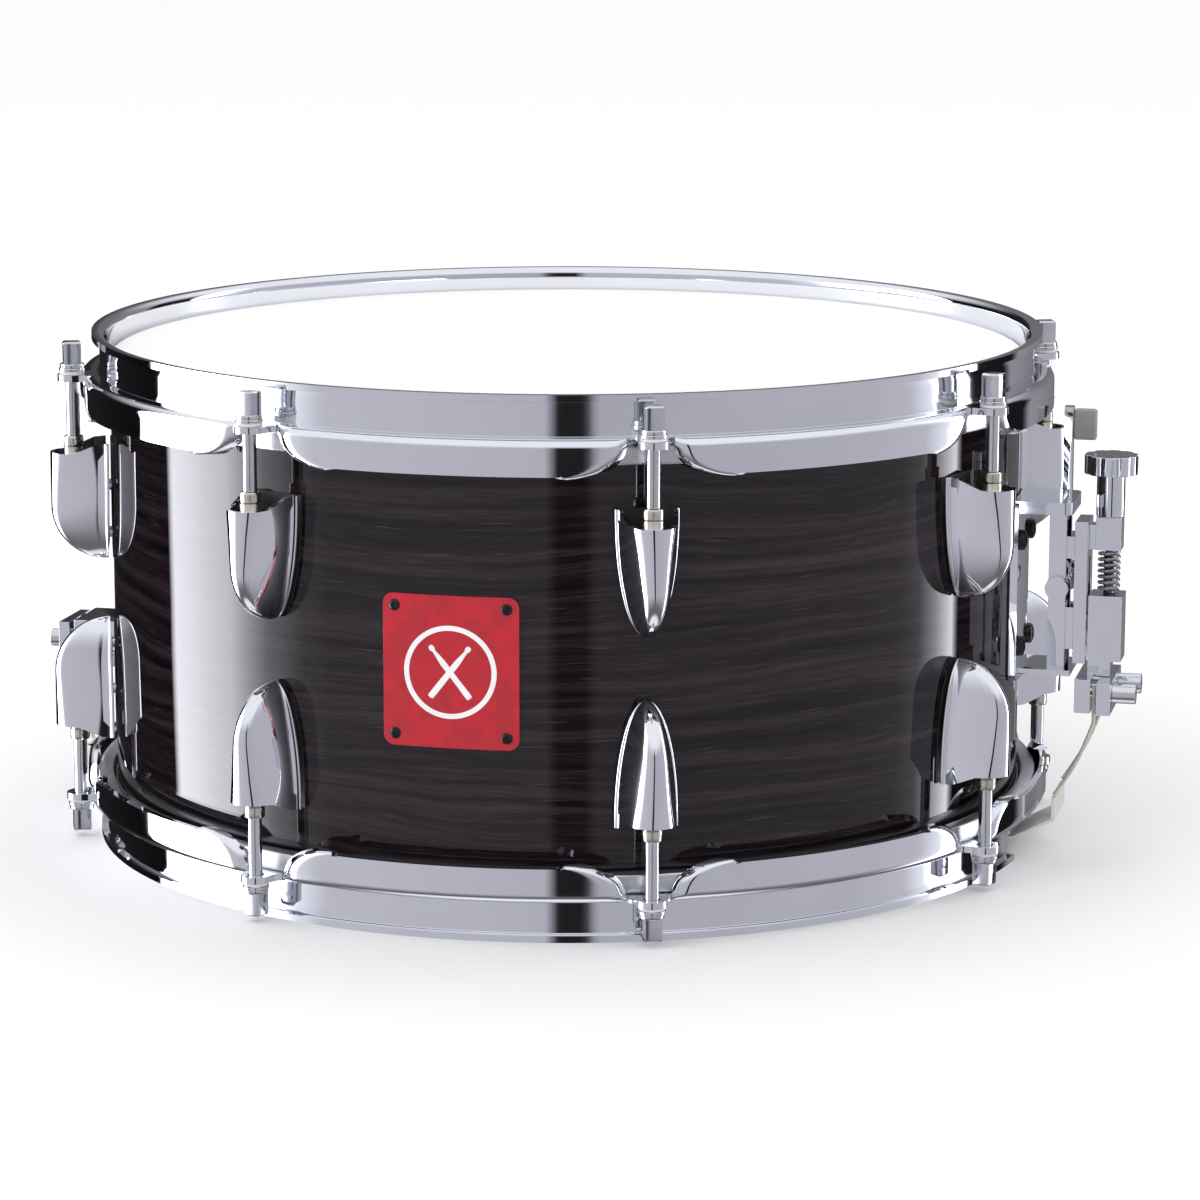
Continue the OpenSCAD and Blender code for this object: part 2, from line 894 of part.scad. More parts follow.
module butt_jaw() {
    color("silver")
        rotate([0, 0, 180])
            difference() {
                block([butt_jaw_x[0], -butt_jaw_half, 51], [butt_jaw_x[1], butt_jaw_half, 66]);
                for (y = [-5, 5])
                    x_cyl(3.1, butt_jaw_x[0] - 1, butt_jaw_x[1] + 1, y, butt_screw[1]);
            }
}

module butt_screws() {
    color("silver")
        rotate([0, 0, 180]) {
            for (y = [-butt_screw[0], butt_screw[0]]) {
                x_cyl(4, butt_seat - 1, butt_x, y, butt_screw[1]);
                x_cyl(6.6, butt_x - 0.2, butt_x + 2, y, butt_screw[1]);
                x_cyl(7.4, butt_seat - 3, butt_seat, y, butt_screw[1]);
            }
            for (y = [-5, 5]) {
                x_cyl(3, 177, butt_jaw_x[1] + 1, y, butt_screw[1]);
                x_cyl(6.4, butt_jaw_x[1], 196.4, y, butt_screw[1]);
            }
        }
}

// ---------------------------------------------------------------- nodes

shell();
vent_grommet();
badge_plate();
badge_screws();
batter_head();
batter_flesh_hoop();
snare_side_head();
snare_side_flesh_hoop();
batter_hoop();
snare_side_hoop();
upper_lugs();
lower_lugs();
lug_gaskets();
lug_screws();
lug_screw_washers();
swivel_nuts();
nylon_washers();
steel_washers();
strainer_frame();
strainer_gasket();
strainer_screws();
lever_arm();
lever_grip();
lever_shaft();
carriage();
snare_cords();
tension_knob();
tension_screw();
tension_spring();
tension_block();
clamp_jaw();
clamp_screws();
snare_wires();
wire_plate_strainer();
wire_plate_butt();
strap_strainer();
strap_butt();
butt_plate();
butt_gasket();
butt_jaw();
butt_screws();
butt_cords();
rod("upper", 0);  // upper_rod_1
rod("upper", 1);  // upper_rod_2
rod("upper", 2);  // upper_rod_3
rod("upper", 3);  // upper_rod_4
rod("upper", 4);  // upper_rod_5
rod("upper", 5);  // upper_rod_6
rod("upper", 6);  // upper_rod_7
rod("upper", 7);  // upper_rod_8
rod("lower", 0);  // lower_rod_1
rod("lower", 1);  // lower_rod_2
rod("lower", 2);  // lower_rod_3
rod("lower", 3);  // lower_rod_4
rod("lower", 4);  // lower_rod_5
rod("lower", 5);  // lower_rod_6
rod("lower", 6);  // lower_rod_7
rod("lower", 7);  // lower_rod_8
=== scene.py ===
# %% [markdown]
# # A snare drum: chrome, dark veneer and a white head
#
# This lesson dresses a snare drum. The working model, with every part in its place, is already
# made, and it is loaded first. Each step then makes one family of pieces again with the softness
# that real pressings, castings and turned parts have, and gives it a finish made of shader nodes.

# %% Load the working model
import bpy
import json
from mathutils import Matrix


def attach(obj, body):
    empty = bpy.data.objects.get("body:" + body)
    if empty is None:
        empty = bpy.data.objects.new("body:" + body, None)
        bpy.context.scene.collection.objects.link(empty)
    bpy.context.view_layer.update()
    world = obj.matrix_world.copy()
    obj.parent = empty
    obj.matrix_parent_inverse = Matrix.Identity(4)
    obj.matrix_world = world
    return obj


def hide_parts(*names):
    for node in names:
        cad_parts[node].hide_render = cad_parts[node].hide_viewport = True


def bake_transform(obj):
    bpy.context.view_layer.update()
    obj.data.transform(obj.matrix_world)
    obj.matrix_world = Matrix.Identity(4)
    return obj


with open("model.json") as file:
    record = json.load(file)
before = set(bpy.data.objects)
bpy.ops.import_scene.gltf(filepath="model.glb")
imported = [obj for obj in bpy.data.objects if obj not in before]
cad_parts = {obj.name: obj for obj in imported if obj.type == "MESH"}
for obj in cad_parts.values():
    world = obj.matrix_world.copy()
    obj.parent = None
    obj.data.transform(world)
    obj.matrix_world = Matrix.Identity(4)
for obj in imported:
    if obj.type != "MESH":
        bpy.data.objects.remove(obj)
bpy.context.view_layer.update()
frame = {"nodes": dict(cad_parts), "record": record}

# %% [markdown]
# ## Units and directories
#
# Blender works in metres, and drum makers work in millimetres. Every size below is written in
# millimetres and multiplied by `MM` when it becomes a vertex. The record that comes with the
# model says which body each part moves with and which finish it has, so two small dictionaries
# are all that is needed to send a new piece to the right place.

# %% Units, bodies and finishes by name
import json
import math

import bmesh
import bpy
from mathutils import Matrix, Vector

MM = 0.001
DRUM_HEIGHT = 182.0
SHELL_RADIUS = 163.5
SHELL_WALL = 6.5
ROD_CIRCLE = 177.0
ROD_ANGLES = [22.5 + 45 * i for i in range(8)]
record = frame["record"]
body_of = {node: body for body, nodes in record["behaviour"]["bodies"].items() for node in nodes}
slot_of = {part["node"]: part["material_slot"] for part in record["subparts"]}
print(len(body_of), "parts,", len(set(slot_of.values())), "finishes")

# %% [markdown]
# ## A shared node group: surface variation
#
# No real surface is one flat value. Plating carries faint smears, plastic has a fine grain, and
# cloth soaks up a little more dye in one place than in the next. The same effect serves them all:
# a slow noise mixes two close colours and moves the roughness between two values, and a fine noise
# gives a height for a Bump node. It is built once as a group, and each finish sets its own values.

# %% Build the surface variation group
def add_socket(group, name, direction, kind, value=None):
    socket = group.interface.new_socket(name, in_out=direction, socket_type=kind)
    if value is not None:
        socket.default_value = value
    return socket


def build_surface_variation():
    group = bpy.data.node_groups.new("surface variation", "ShaderNodeTree")
    add_socket(group, "Colour A", "INPUT", "NodeSocketColor", (0.8, 0.8, 0.8, 1))
    add_socket(group, "Colour B", "INPUT", "NodeSocketColor", (0.7, 0.7, 0.7, 1))
    add_socket(group, "Roughness low", "INPUT", "NodeSocketFloat", 0.1)
    add_socket(group, "Roughness high", "INPUT", "NodeSocketFloat", 0.2)
    add_socket(group, "Patch scale", "INPUT", "NodeSocketFloat", 40.0)
    add_socket(group, "Grain scale", "INPUT", "NodeSocketFloat", 900.0)
    add_socket(group, "Stretch", "INPUT", "NodeSocketVector", (1, 1, 1))
    add_socket(group, "Colour", "OUTPUT", "NodeSocketColor")
    add_socket(group, "Roughness", "OUTPUT", "NodeSocketFloat")
    add_socket(group, "Height", "OUTPUT", "NodeSocketFloat")
    nodes, links = group.nodes, group.links
    given = nodes.new("NodeGroupInput")
    out = nodes.new("NodeGroupOutput")
    place = nodes.new("ShaderNodeTexCoord")
    stretched = nodes.new("ShaderNodeVectorMath")
    stretched.operation = "MULTIPLY"
    links.new(place.outputs["Object"], stretched.inputs[0])
    links.new(given.outputs["Stretch"], stretched.inputs[1])
    patches = nodes.new("ShaderNodeTexNoise")
    patches.inputs["Detail"].default_value = 3
    links.new(stretched.outputs[0], patches.inputs["Vector"])
    links.new(given.outputs["Patch scale"], patches.inputs["Scale"])
    grain = nodes.new("ShaderNodeTexNoise")
    grain.inputs["Detail"].default_value = 2
    links.new(stretched.outputs[0], grain.inputs["Vector"])
    links.new(given.outputs["Grain scale"], grain.inputs["Scale"])
    sharpened = nodes.new("ShaderNodeMapRange")
    sharpened.inputs["From Min"].default_value = 0.35
    sharpened.inputs["From Max"].default_value = 0.65
    links.new(patches.outputs["Fac"], sharpened.inputs["Value"])
    colours = nodes.new("ShaderNodeMix")
    colours.data_type = "RGBA"
    links.new(sharpened.outputs["Result"], colours.inputs["Factor"])
    links.new(given.outputs["Colour A"], colours.inputs["A"])
    links.new(given.outputs["Colour B"], colours.inputs["B"])
    gloss = nodes.new("ShaderNodeMapRange")
    links.new(sharpened.outputs["Result"], gloss.inputs["Value"])
    links.new(given.outputs["Roughness low"], gloss.inputs["To Min"])
    links.new(given.outputs["Roughness high"], gloss.inputs["To Max"])
    links.new(colours.outputs["Result"], out.inputs["Colour"])
    links.new(gloss.outputs["Result"], out.inputs["Roughness"])
    links.new(grain.outputs["Fac"], out.inputs["Height"])
    return group


surface_variation = build_surface_variation()
print("group sockets:", [item.name for item in surface_variation.interface.items_tree])

# %% [markdown]
# ## A maker of finishes
#
# Every finish starts the same way: the group feeds Base Color, Roughness and the height of a Bump
# node. The values that are the same all over, such as Metallic or Coat Weight, are set straight
# on the shader, where other programs can read them.

# %% Make a finish from the group
def micrometres(height):
    """A bump distance in metres, given in thousandths of a millimetre."""
    return height * 1e-6


def make_finish(name, colours, roughness, patch, grain, bump, stretch=(1, 1, 1), **constants):
    finish = bpy.data.materials.new(name)
    finish.use_nodes = True
    nodes, links = finish.node_tree.nodes, finish.node_tree.links
    shader = nodes["Principled BSDF"]
    variation = nodes.new("ShaderNodeGroup")
    variation.node_tree = surface_variation
    variation.inputs["Colour A"].default_value = (*colours[0], 1)
    variation.inputs["Colour B"].default_value = (*colours[1], 1)
    variation.inputs["Roughness low"].default_value = roughness[0]
    variation.inputs["Roughness high"].default_value = roughness[1]
    variation.inputs["Patch scale"].default_value = patch
    variation.inputs["Grain scale"].default_value = grain
    variation.inputs["Stretch"].default_value = stretch
    raised = nodes.new("ShaderNodeBump")
    raised.inputs["Distance"].default_value = micrometres(bump)
    raised.inputs["Strength"].default_value = 1.0
    links.new(variation.outputs["Height"], raised.inputs["Height"])
    links.new(variation.outputs["Colour"], shader.inputs["Base Color"])
    links.new(variation.outputs["Roughness"], shader.inputs["Roughness"])
    links.new(raised.outputs["Normal"], shader.inputs["Normal"])
    for socket, value in constants.items():
        shader.inputs[socket.replace("_", " ")].default_value = value
    return finish


# %% [markdown]
# ## Plain finishes
#
# Chrome is a mirror with a faintly blue cast. Its roughness stays near zero and moves only a
# little, like the haze that a polishing cloth leaves. Fasteners are duller, because small parts
# are barrel plated. The rubber, nylon and grip are dielectrics with a fine moulded grain.

# %% Chrome, fasteners, brass, rubber, nylon and the rest
finishes = {
    "chrome": make_finish(
        "mirror chrome", [(0.83, 0.84, 0.89), (0.80, 0.81, 0.87)], (0.025, 0.06), 30, 500, 0.4,
        Metallic=1.0),
    "chrome_fasteners": make_finish(
        "plated fasteners", [(0.74, 0.75, 0.78), (0.66, 0.67, 0.71)], (0.10, 0.2), 90, 900, 2,
        Metallic=1.0),
    "dark_screws": make_finish(
        "blackened screws", [(0.035, 0.035, 0.04), (0.02, 0.02, 0.022)], (0.22, 0.38), 300, 1500, 3,
        Metallic=0.7),
    "spring_steel": make_finish(
        "spring steel", [(0.40, 0.41, 0.42), (0.31, 0.32, 0.33)], (0.2, 0.34), 200, 1400, 3,
        Metallic=1.0),
    "snare_wire": make_finish(
        "snare wire steel", [(0.62, 0.62, 0.60), (0.50, 0.50, 0.49)], (0.18, 0.3), 120, 1500, 2,
        Metallic=1.0),
    "brass": make_finish(
        "pale brass", [(0.76, 0.72, 0.64), (0.66, 0.61, 0.52)], (0.16, 0.3), 180, 1200, 3,
        Metallic=1.0),
    "aluminium": make_finish(
        "drawn aluminium", [(0.72, 0.73, 0.75), (0.62, 0.63, 0.65)], (0.28, 0.4), 60, 900, 4,
        stretch=(1, 1, 6), Metallic=1.0),
    "black_rubber": make_finish(
        "gasket rubber", [(0.012, 0.012, 0.013), (0.02, 0.02, 0.02)], (0.5, 0.68), 150, 1800, 14),
    "grip_grey": make_finish(
        "grip sleeve", [(0.33, 0.33, 0.325), (0.29, 0.29, 0.285)], (0.42, 0.55), 200, 1500, 20),
    "white_nylon": make_finish(
        "natural nylon", [(0.80, 0.79, 0.75), (0.74, 0.73, 0.68)], (0.34, 0.46), 120, 1200, 8,
        Subsurface_Weight=0.1, Subsurface_Radius=(0.002, 0.002, 0.0015)),
    "badge_enamel": make_finish(
        "red enamel", [(0.52, 0.003, 0.016), (0.40, 0.002, 0.011)], (0.14, 0.22), 140, 700, 3,
        Coat_Weight=0.6, Coat_Roughness=0.06),
    "cord": make_finish(
        "braided cord", [(0.62, 0.60, 0.52), (0.46, 0.44, 0.38)], (0.7, 0.85), 1400, 2600, 60,
        Sheen_Weight=0.3),
    "coated_film": make_finish(
        "coated film", [(0.88, 0.88, 0.875), (0.86, 0.86, 0.855)], (0.5, 0.62), 25, 1600, 12),
}
print(len(finishes), "finishes made with one group")

# %% [markdown]
# ## The snare side film
#
# The lower head is a film of only a few hundredths of a millimetre, and it isn't coated. Light
# passes through it with a slight haze, so it mixes some transmission into a pale base.

# %% Thin hazy film
finishes["clear_film"] = make_finish(
    "hazy film", [(0.90, 0.91, 0.90), (0.86, 0.87, 0.87)], (0.16, 0.24), 20, 1200, 4,
    Transmission_Weight=0.55, IOR=1.2)
print("hazy film made")

# %% [markdown]
# ## Open grained veneer under lacquer
#
# The shell is faced with dark stained oak, its grain running round the drum. A flat board pattern
# would pinch and slide on a cylinder, so the grain is drawn in the shell's own coordinates: the
# distance round the wall, found with an arctangent, and the height. Noise that is long in the first
# and short in the second makes streaks, a second, larger noise bends them, and a threshold picks
# out the darker growth rings and the thin pale pores. Over it all lies a clear, hard coat.

# %% Build the veneer group
def math_node(nodes, links, operation, first, second=None):
    node = nodes.new("ShaderNodeMath")
    node.operation = operation
    for socket, value in zip(node.inputs, (first, second)):
        if isinstance(value, (int, float)):
            socket.default_value = value
        elif value is not None:
            links.new(value, socket)
    return node.outputs[0]


def build_round_the_shell():
    group = bpy.data.node_groups.new("round the shell", "ShaderNodeTree")
    add_socket(group, "Radius", "INPUT", "NodeSocketFloat", SHELL_RADIUS * MM)
    add_socket(group, "Along and up", "OUTPUT", "NodeSocketVector")
    nodes, links = group.nodes, group.links
    given = nodes.new("NodeGroupInput")
    out = nodes.new("NodeGroupOutput")
    place = nodes.new("ShaderNodeTexCoord")
    parts = nodes.new("ShaderNodeSeparateXYZ")
    links.new(place.outputs["Object"], parts.inputs[0])
    turn = math_node(nodes, links, "ARCTAN2", parts.outputs["Y"], parts.outputs["X"])
    along = math_node(nodes, links, "MULTIPLY", turn, given.outputs["Radius"])
    both = nodes.new("ShaderNodeCombineXYZ")
    links.new(along, both.inputs["X"])
    links.new(parts.outputs["Z"], both.inputs["Y"])
    links.new(both.outputs[0], out.inputs[0])
    return group


round_the_shell = build_round_the_shell()
print("veneer runs round", round(math.tau * SHELL_RADIUS), "mm of wall")


# %% [markdown]
# The streaks need three sizes of noise: rings a few millimetres high, fibres finer than that, and
# short pores. The stain is nearly black, so almost all the light comes back from the lacquer. That
# is why the wood itself gets no gloss of its own and the clear coat gets all of it.

# %% Lay the veneer and its lacquer
def streaks(nodes, links, vector, size, detail, roughness=0.5, distortion=0.0):
    stretched = nodes.new("ShaderNodeVectorMath")
    stretched.operation = "MULTIPLY"
    links.new(vector, stretched.inputs[0])
    stretched.inputs[1].default_value = size
    noise = nodes.new("ShaderNodeTexNoise")
    noise.inputs["Scale"].default_value = 1.0
    noise.inputs["Detail"].default_value = detail
    noise.inputs["Roughness"].default_value = roughness
    noise.inputs["Distortion"].default_value = distortion
    links.new(stretched.outputs[0], noise.inputs["Vector"])
    return noise.outputs["Fac"]


def make_veneer():
    finish = bpy.data.materials.new("dark oak veneer")
    finish.use_nodes = True
    nodes, links = finish.node_tree.nodes, finish.node_tree.links
    shader = nodes["Principled BSDF"]
    wall = nodes.new("ShaderNodeGroup")
    wall.node_tree = round_the_shell
    flat = wall.outputs[0]
    parts = nodes.new("ShaderNodeSeparateXYZ")
    links.new(flat, parts.inputs[0])
    sway = streaks(nodes, links, flat, (9, 16, 1), 2)
    lift = math_node(nodes, links, "MULTIPLY", sway, 0.016)
    bent_height = math_node(nodes, links, "ADD", parts.outputs["Y"], lift)
    bent = nodes.new("ShaderNodeCombineXYZ")
    links.new(parts.outputs["X"], bent.inputs["X"])
    links.new(bent_height, bent.inputs["Y"])
    rings = streaks(nodes, links, bent.outputs[0], (5, 240, 1), 5, 0.62)
    fibres = streaks(nodes, links, bent.outputs[0], (60, 1500, 1), 3, 0.6)
    pores = streaks(nodes, links, bent.outputs[0], (55, 900, 1), 1, 0.5)
    tone = nodes.new("ShaderNodeValToRGB")
    tone.color_ramp.elements[0].position = 0.36
    tone.color_ramp.elements[0].color = (0.0018, 0.0011, 0.0017, 1)
    tone.color_ramp.elements[1].position = 0.66
    tone.color_ramp.elements[1].color = (0.033, 0.0235, 0.0280, 1)
    middle = tone.color_ramp.elements.new(0.5)
    middle.color = (0.0115, 0.0077, 0.0100, 1)
    mixed = math_node(nodes, links, "ADD", math_node(nodes, links, "MULTIPLY", rings, 0.7),
                      math_node(nodes, links, "MULTIPLY", fibres, 0.3))
    links.new(mixed, tone.inputs["Fac"])
    flecks = nodes.new("ShaderNodeMapRange")
    flecks.inputs["From Min"].default_value = 0.66
    flecks.inputs["From Max"].default_value = 0.76
    links.new(pores, flecks.inputs["Value"])
    coloured = nodes.new("ShaderNodeMix")
    coloured.data_type = "RGBA"
    links.new(flecks.outputs["Result"], coloured.inputs["Factor"])
    links.new(tone.outputs["Color"], coloured.inputs["A"])
    coloured.inputs["B"].default_value = (0.034, 0.026, 0.029, 1)
    links.new(coloured.outputs["Result"], shader.inputs["Base Color"])
    raised = nodes.new("ShaderNodeBump")
    raised.inputs["Distance"].default_value = micrometres(5)
    links.new(mixed, raised.inputs["Height"])
    links.new(raised.outputs["Normal"], shader.inputs["Normal"])
    shader.inputs["Roughness"].default_value = 0.42
    shader.inputs["Specular IOR Level"].default_value = 0.0
    shader.inputs["Coat Weight"].default_value = 1.0
    shader.inputs["Coat Roughness"].default_value = 0.025
    shader.inputs["Coat IOR"].default_value = 1.44
    return finish


finishes["lacquered_wood"] = make_veneer()
white_enamel = make_finish(
    "white enamel", [(0.90, 0.89, 0.90), (0.85, 0.84, 0.85)], (0.14, 0.22), 140, 900, 3,
    Coat_Weight=0.6, Coat_Roughness=0.06)
print("finishes ready:", len(finishes) + 1)

# %% [markdown]
# ## From a bmesh to a piece of the drum
#
# Each piece is shaped in a bmesh. At the end its doubles are merged, its normals are turned
# outwards, and it becomes an object that moves with its body and hides the plain part that it
# stands for. Curved faces are shaded smooth and edges sharper than an angle stay crisp.

# %% Put a finished mesh into the drum
def settle(bm, name, node, sharp=35, ride=True, finish=None):
    bmesh.ops.remove_doubles(bm, verts=bm.verts, dist=1e-6)
    bmesh.ops.recalc_face_normals(bm, faces=bm.faces)
    mesh = bpy.data.meshes.new(name)
    bm.to_mesh(mesh)
    bm.free()
    mesh.materials.append(finish or finishes[slot_of[node]])
    mesh.shade_smooth()
    mesh.set_sharp_from_angle(angle=math.radians(sharp))
    piece = bpy.data.objects.new(name, mesh)
    bpy.context.scene.collection.objects.link(piece)
    if ride:
        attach(piece, body_of[node])
    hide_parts(node)
    return piece


def soften(piece, width, steps=2, angle=30, harden=True):
    """Rounds the sharp edges of a piece, as plating and tumbling do."""
    bevel = piece.modifiers.new("soft edges", "BEVEL")
    bevel.width = width * MM
    bevel.segments = steps
    bevel.limit_method = "ANGLE"
    bevel.angle_limit = math.radians(angle)
    bevel.use_clamp_overlap = True
    bevel.harden_normals = harden
    return piece


# %% [markdown]
# ## Machined parts keep their exact shape
#
# The plates, blocks and brackets of the strainer are already the right shape in the working
# model. A copy is welded from its loose triangles, its flat faces are joined again, and a bevel
# catches the light on every edge. Nothing on a real plated part has a knife edge. Castings get
# a wide bevel, because they are polished hard before plating, and thin sheets get a small one.

# %% Copy a machined part and round its edges
def welded_copy(node):
    bm = bmesh.new()
    bm.from_mesh(frame["nodes"][node].data)
    bmesh.ops.remove_doubles(bm, verts=bm.verts, dist=3e-6)
    bmesh.ops.dissolve_limit(bm, angle_limit=math.radians(1.5), use_dissolve_boundaries=False,
                             verts=bm.verts, edges=bm.edges)
    return bm


def machined(node, width):
    return soften(settle(welded_copy(node), node + "_finished", node), width)


EDGE_WIDTH = {"strainer_frame": 0.7, "strainer_gasket": 0.15, "lever_arm": 0.35, "lever_grip": 0.9,
              "lever_shaft": 0.35, "carriage": 0.7, "tension_block": 0.9, "clamp_jaw": 0.7,
              "butt_plate": 0.6, "butt_gasket": 0.15, "butt_jaw": 0.7, "wire_plate_strainer": 0.35,
              "wire_plate_butt": 0.35, "strap_strainer": 0.2, "strap_butt": 0.2,
              "vent_grommet": 0.35, "tension_knob": 0.7}
for node, width in EDGE_WIDTH.items():
    machined(node, width)
print(len(EDGE_WIDTH), "machined parts softened")

# %% [markdown]
# ## Turned parts
#
# A spin sweeps a profile round an axis. It suits everything that is turned on a lathe or spun
# over a form: the shell, the heads, washers, nuts and rods. Where the profile touches the axis,
# the merging of doubles in `settle` closes the pole.

# %% Spin a profile round the drum's axis, or round a rod
def lathe(profile, steps, closed=True, bm=None):
    bm = bm or bmesh.new()
    verts = [bm.verts.new((r * MM, 0, z * MM)) for r, z in profile]
    ends = verts[1:] + verts[:1] if closed else verts[1:]
    edges = [bm.edges.new(pair) for pair in zip(verts, ends)]
    bmesh.ops.spin(bm, geom=verts + edges, cent=(0, 0, 0), axis=(0, 0, 1), dvec=(0, 0, 0),
                   angle=math.tau, steps=steps, use_merge=True)
    return bm


def arc(cx, cz, radius, start, end, steps):
    """Points on an arc, angles in degrees."""
    turns = [math.radians(start + (end - start) * i / steps) for i in range(steps + 1)]
    return [(cx + radius * math.cos(t), cz + radius * math.sin(t)) for t in turns]


def copies(bm, transforms):
    """Repeats what is in the bmesh once for each transform, and drops the original."""
    original = list(bm.verts)
    whole = original + list(bm.edges) + list(bm.faces)
    for transform in transforms:
        made = bmesh.ops.duplicate(bm, geom=whole)["geom"]
        verts = [g for g in made if isinstance(g, bmesh.types.BMVert)]
        bmesh.ops.transform(bm, matrix=transform, verts=verts)
    bmesh.ops.delete(bm, geom=original, context="VERTS")
    return bm


MIRROR_DOWN = Matrix.Translation((0, 0, DRUM_HEIGHT * MM)) @ Matrix.Scale(-1, 4, (0, 0, 1))


def round_the_drum(radius=ROD_CIRCLE):
    return [Matrix.Rotation(math.radians(a), 4, "Z") @ Matrix.Translation((radius * MM, 0, 0))
            for a in ROD_ANGLES]


# %% [markdown]
# ## The shell
#
# A ply shell is a plain tube whose ends are cut to bearing edges: a rounded outside and a slope
# inside that meet at a narrow crest, where the head touches. Both sides are one spun profile.
# The vent goes through the back, so a small patch of both walls is taken away there, and its
# border is bridged to a round hole.

# %% Spin the shell and cut its vent
VENT_RADIUS = 5
VENT_PATCH = 8 * MM


def shell_profile():
    inner = SHELL_RADIUS - SHELL_WALL
    top = [(SHELL_RADIUS, 99), (SHELL_RADIUS, 170.6)]
    top += arc(SHELL_RADIUS - 2.9, 170.6, 2.9, 15, 90, 5)
    top += [(inner, 169.9), (inner, 99)]
    bottom = [(r, DRUM_HEIGHT - z) for r, z in reversed(top)]
    return top + bottom


shell_bm = lathe(shell_profile(), 256)
bmesh.ops.remove_doubles(shell_bm, verts=shell_bm.verts, dist=1e-6)
patch = [f for f in shell_bm.faces
         if f.calc_center_median().y > 0.15 and abs(f.calc_center_median().x) < VENT_PATCH
         and abs(f.calc_center_median().z - DRUM_HEIGHT / 2 * MM) < VENT_PATCH]
bmesh.ops.delete(shell_bm, geom=patch, context="FACES")


def round_hole(bm, radius, wall_radius, count, height):
    """A circle of vertices that lies on the wall, facing +Y."""
    made = bmesh.ops.create_circle(bm, segments=count, radius=radius * MM)["verts"]
    for v in made:
        x, z = v.co.x, v.co.y
        v.co = (x, math.sqrt((wall_radius * MM) ** 2 - x * x), z + height * MM)
    return list({e for v in made for e in v.link_edges})


borders = [e for e in shell_bm.edges if e.is_boundary]
outer_border = [e for e in borders if e.verts[0].co.y > 0.16 and e.verts[1].co.y > 0.16]
inner_border = [e for e in borders if e not in outer_border]
outer_hole = round_hole(shell_bm, VENT_RADIUS, SHELL_RADIUS, len(outer_border), DRUM_HEIGHT / 2)
inner_hole = round_hole(shell_bm, VENT_RADIUS, SHELL_RADIUS - SHELL_WALL, len(outer_border),
                        DRUM_HEIGHT / 2)
bmesh.ops.bridge_loops(shell_bm, edges=outer_border + outer_hole)
bmesh.ops.bridge_loops(shell_bm, edges=inner_border + inner_hole)
bmesh.ops.bridge_loops(shell_bm, edges=outer_hole + inner_hole)
shell_piece = settle(shell_bm, "shell_veneered", "shell", 30)
print("shell faces:", len(shell_piece.data.polygons))

# %% [markdown]
# ## Heads and flesh hoops
#
# A head is a film pulled over the bearing edge. It is flat inside the edge, turns down over the
# crest and ends, crimped, in an aluminium channel, the flesh hoop. The same two profiles make both
# ends, and the lower ones are mirrored.

# %% Spin the films and their channels
FILM_TOP = 173.9
FILM_UNDERSIDE = 173.55
HEAD_STEPS = 192


def film_profile():
    outside = [(r, FILM_TOP) for r in (0, 60, 120, 150, 159.2)]
    outside += arc(160.9, 170.6, 3.3, 90, 8, 7)
    outside += [(164.2, 168), (164.2, 161)]
    inside = [(163.85, 161), (163.85, 168)]
    inside += [(r - 0.02, z) for r, z in arc(160.9, 170.6, 2.98, 8, 90, 7)]
    inside += [(r, FILM_UNDERSIDE) for r in (159.2, 120, 0)]
    return outside + inside


def channel_profile():
    outline = arc(166.2, 164.3, 1.4, 180, 90, 3) + arc(169.0, 164.3, 1.4, 90, 0, 3)
    outline += arc(169.6, 159.8, 0.8, 0, -90, 3) + arc(165.6, 159.8, 0.8, -90, -180, 3)
    return outline


def spin_both_ends(profile, nodes, ending):
    for node, mirrored in zip(nodes, (False, True)):
        spun = lathe(profile, HEAD_STEPS)
        if mirrored:
            bmesh.ops.transform(spun, matrix=MIRROR_DOWN, verts=spun.verts)
        settle(spun, node + ending, node, 40)


spin_both_ends(film_profile(), ("batter_head", "snare_side_head"), "_film")
spin_both_ends(channel_profile(), ("batter_flesh_hoop", "snare_side_flesh_hoop"), "_channel")
print("two heads, two flesh hoops")

# %% [markdown]
# ## The hoops
#
# A flanged hoop is rolled and pressed from one strip of steel: a lip turned outwards at the top,
# an upright wall, a ledge that presses on the flesh hoop, and a skirt that hangs from the ledge.
# At each rod the skirt is cut away and the ledge carries on as a round ear with a hole. The
# press leaves the skirt's corners round there and draws them in a little towards the shell.
#
# The strip is drawn as a thin sheet along its middle. A grid gives it one row for each point of
# the cross section and one column for each step round the drum, closer together near the rods,
# where the shape changes. The grid's own corners say where each vertex goes. A Solidify modifier
# gives the strip its thickness at the end.

# %% Rows across the strip and columns round the drum
HALF_SECTOR = [1.6, 3.2, 4.8, 6.4, 8.0, 8.7, 9.5, 10.4, 11.5, 12.9, 14.6, 16.8, 19.6, 23, 27, 31.4,
               36, 39.6, 43.2, 48, 53.5, 60]
SKIRT_RADIUS = 173.15
SECTOR_EDGE = 68.0
GAP = 8.0
GAP_COLUMNS = 5
GATE_ANGLE = 8.3
GATE_ROWS = 8
SHOULDER = 0.8
CORNER_SLANT = 3.6
CORNER_ROUND = 12.5
BEND_WIDTH = 4.6
BEND_IN = 2.6
strip_rows = [(169.8, 180.85), (168.9, 180.85)] + arc(167.55, 179.25, 1.6, 90, 180, 4)
strip_rows += [(165.95, 176.5), (165.95, 173.5), (165.95, 170.4)]
strip_rows += arc(167.15, 168.05, 1.2, 180, 270, 4) + [(168.4, 166.85), (169.7, 166.85)]
LEDGE_END = len(strip_rows)
strip_rows += arc(170.95, 164.65, 2.2, 90, 0, 5)
SKIRT_TOP = len(strip_rows)
SKIRT_STEPS = 9
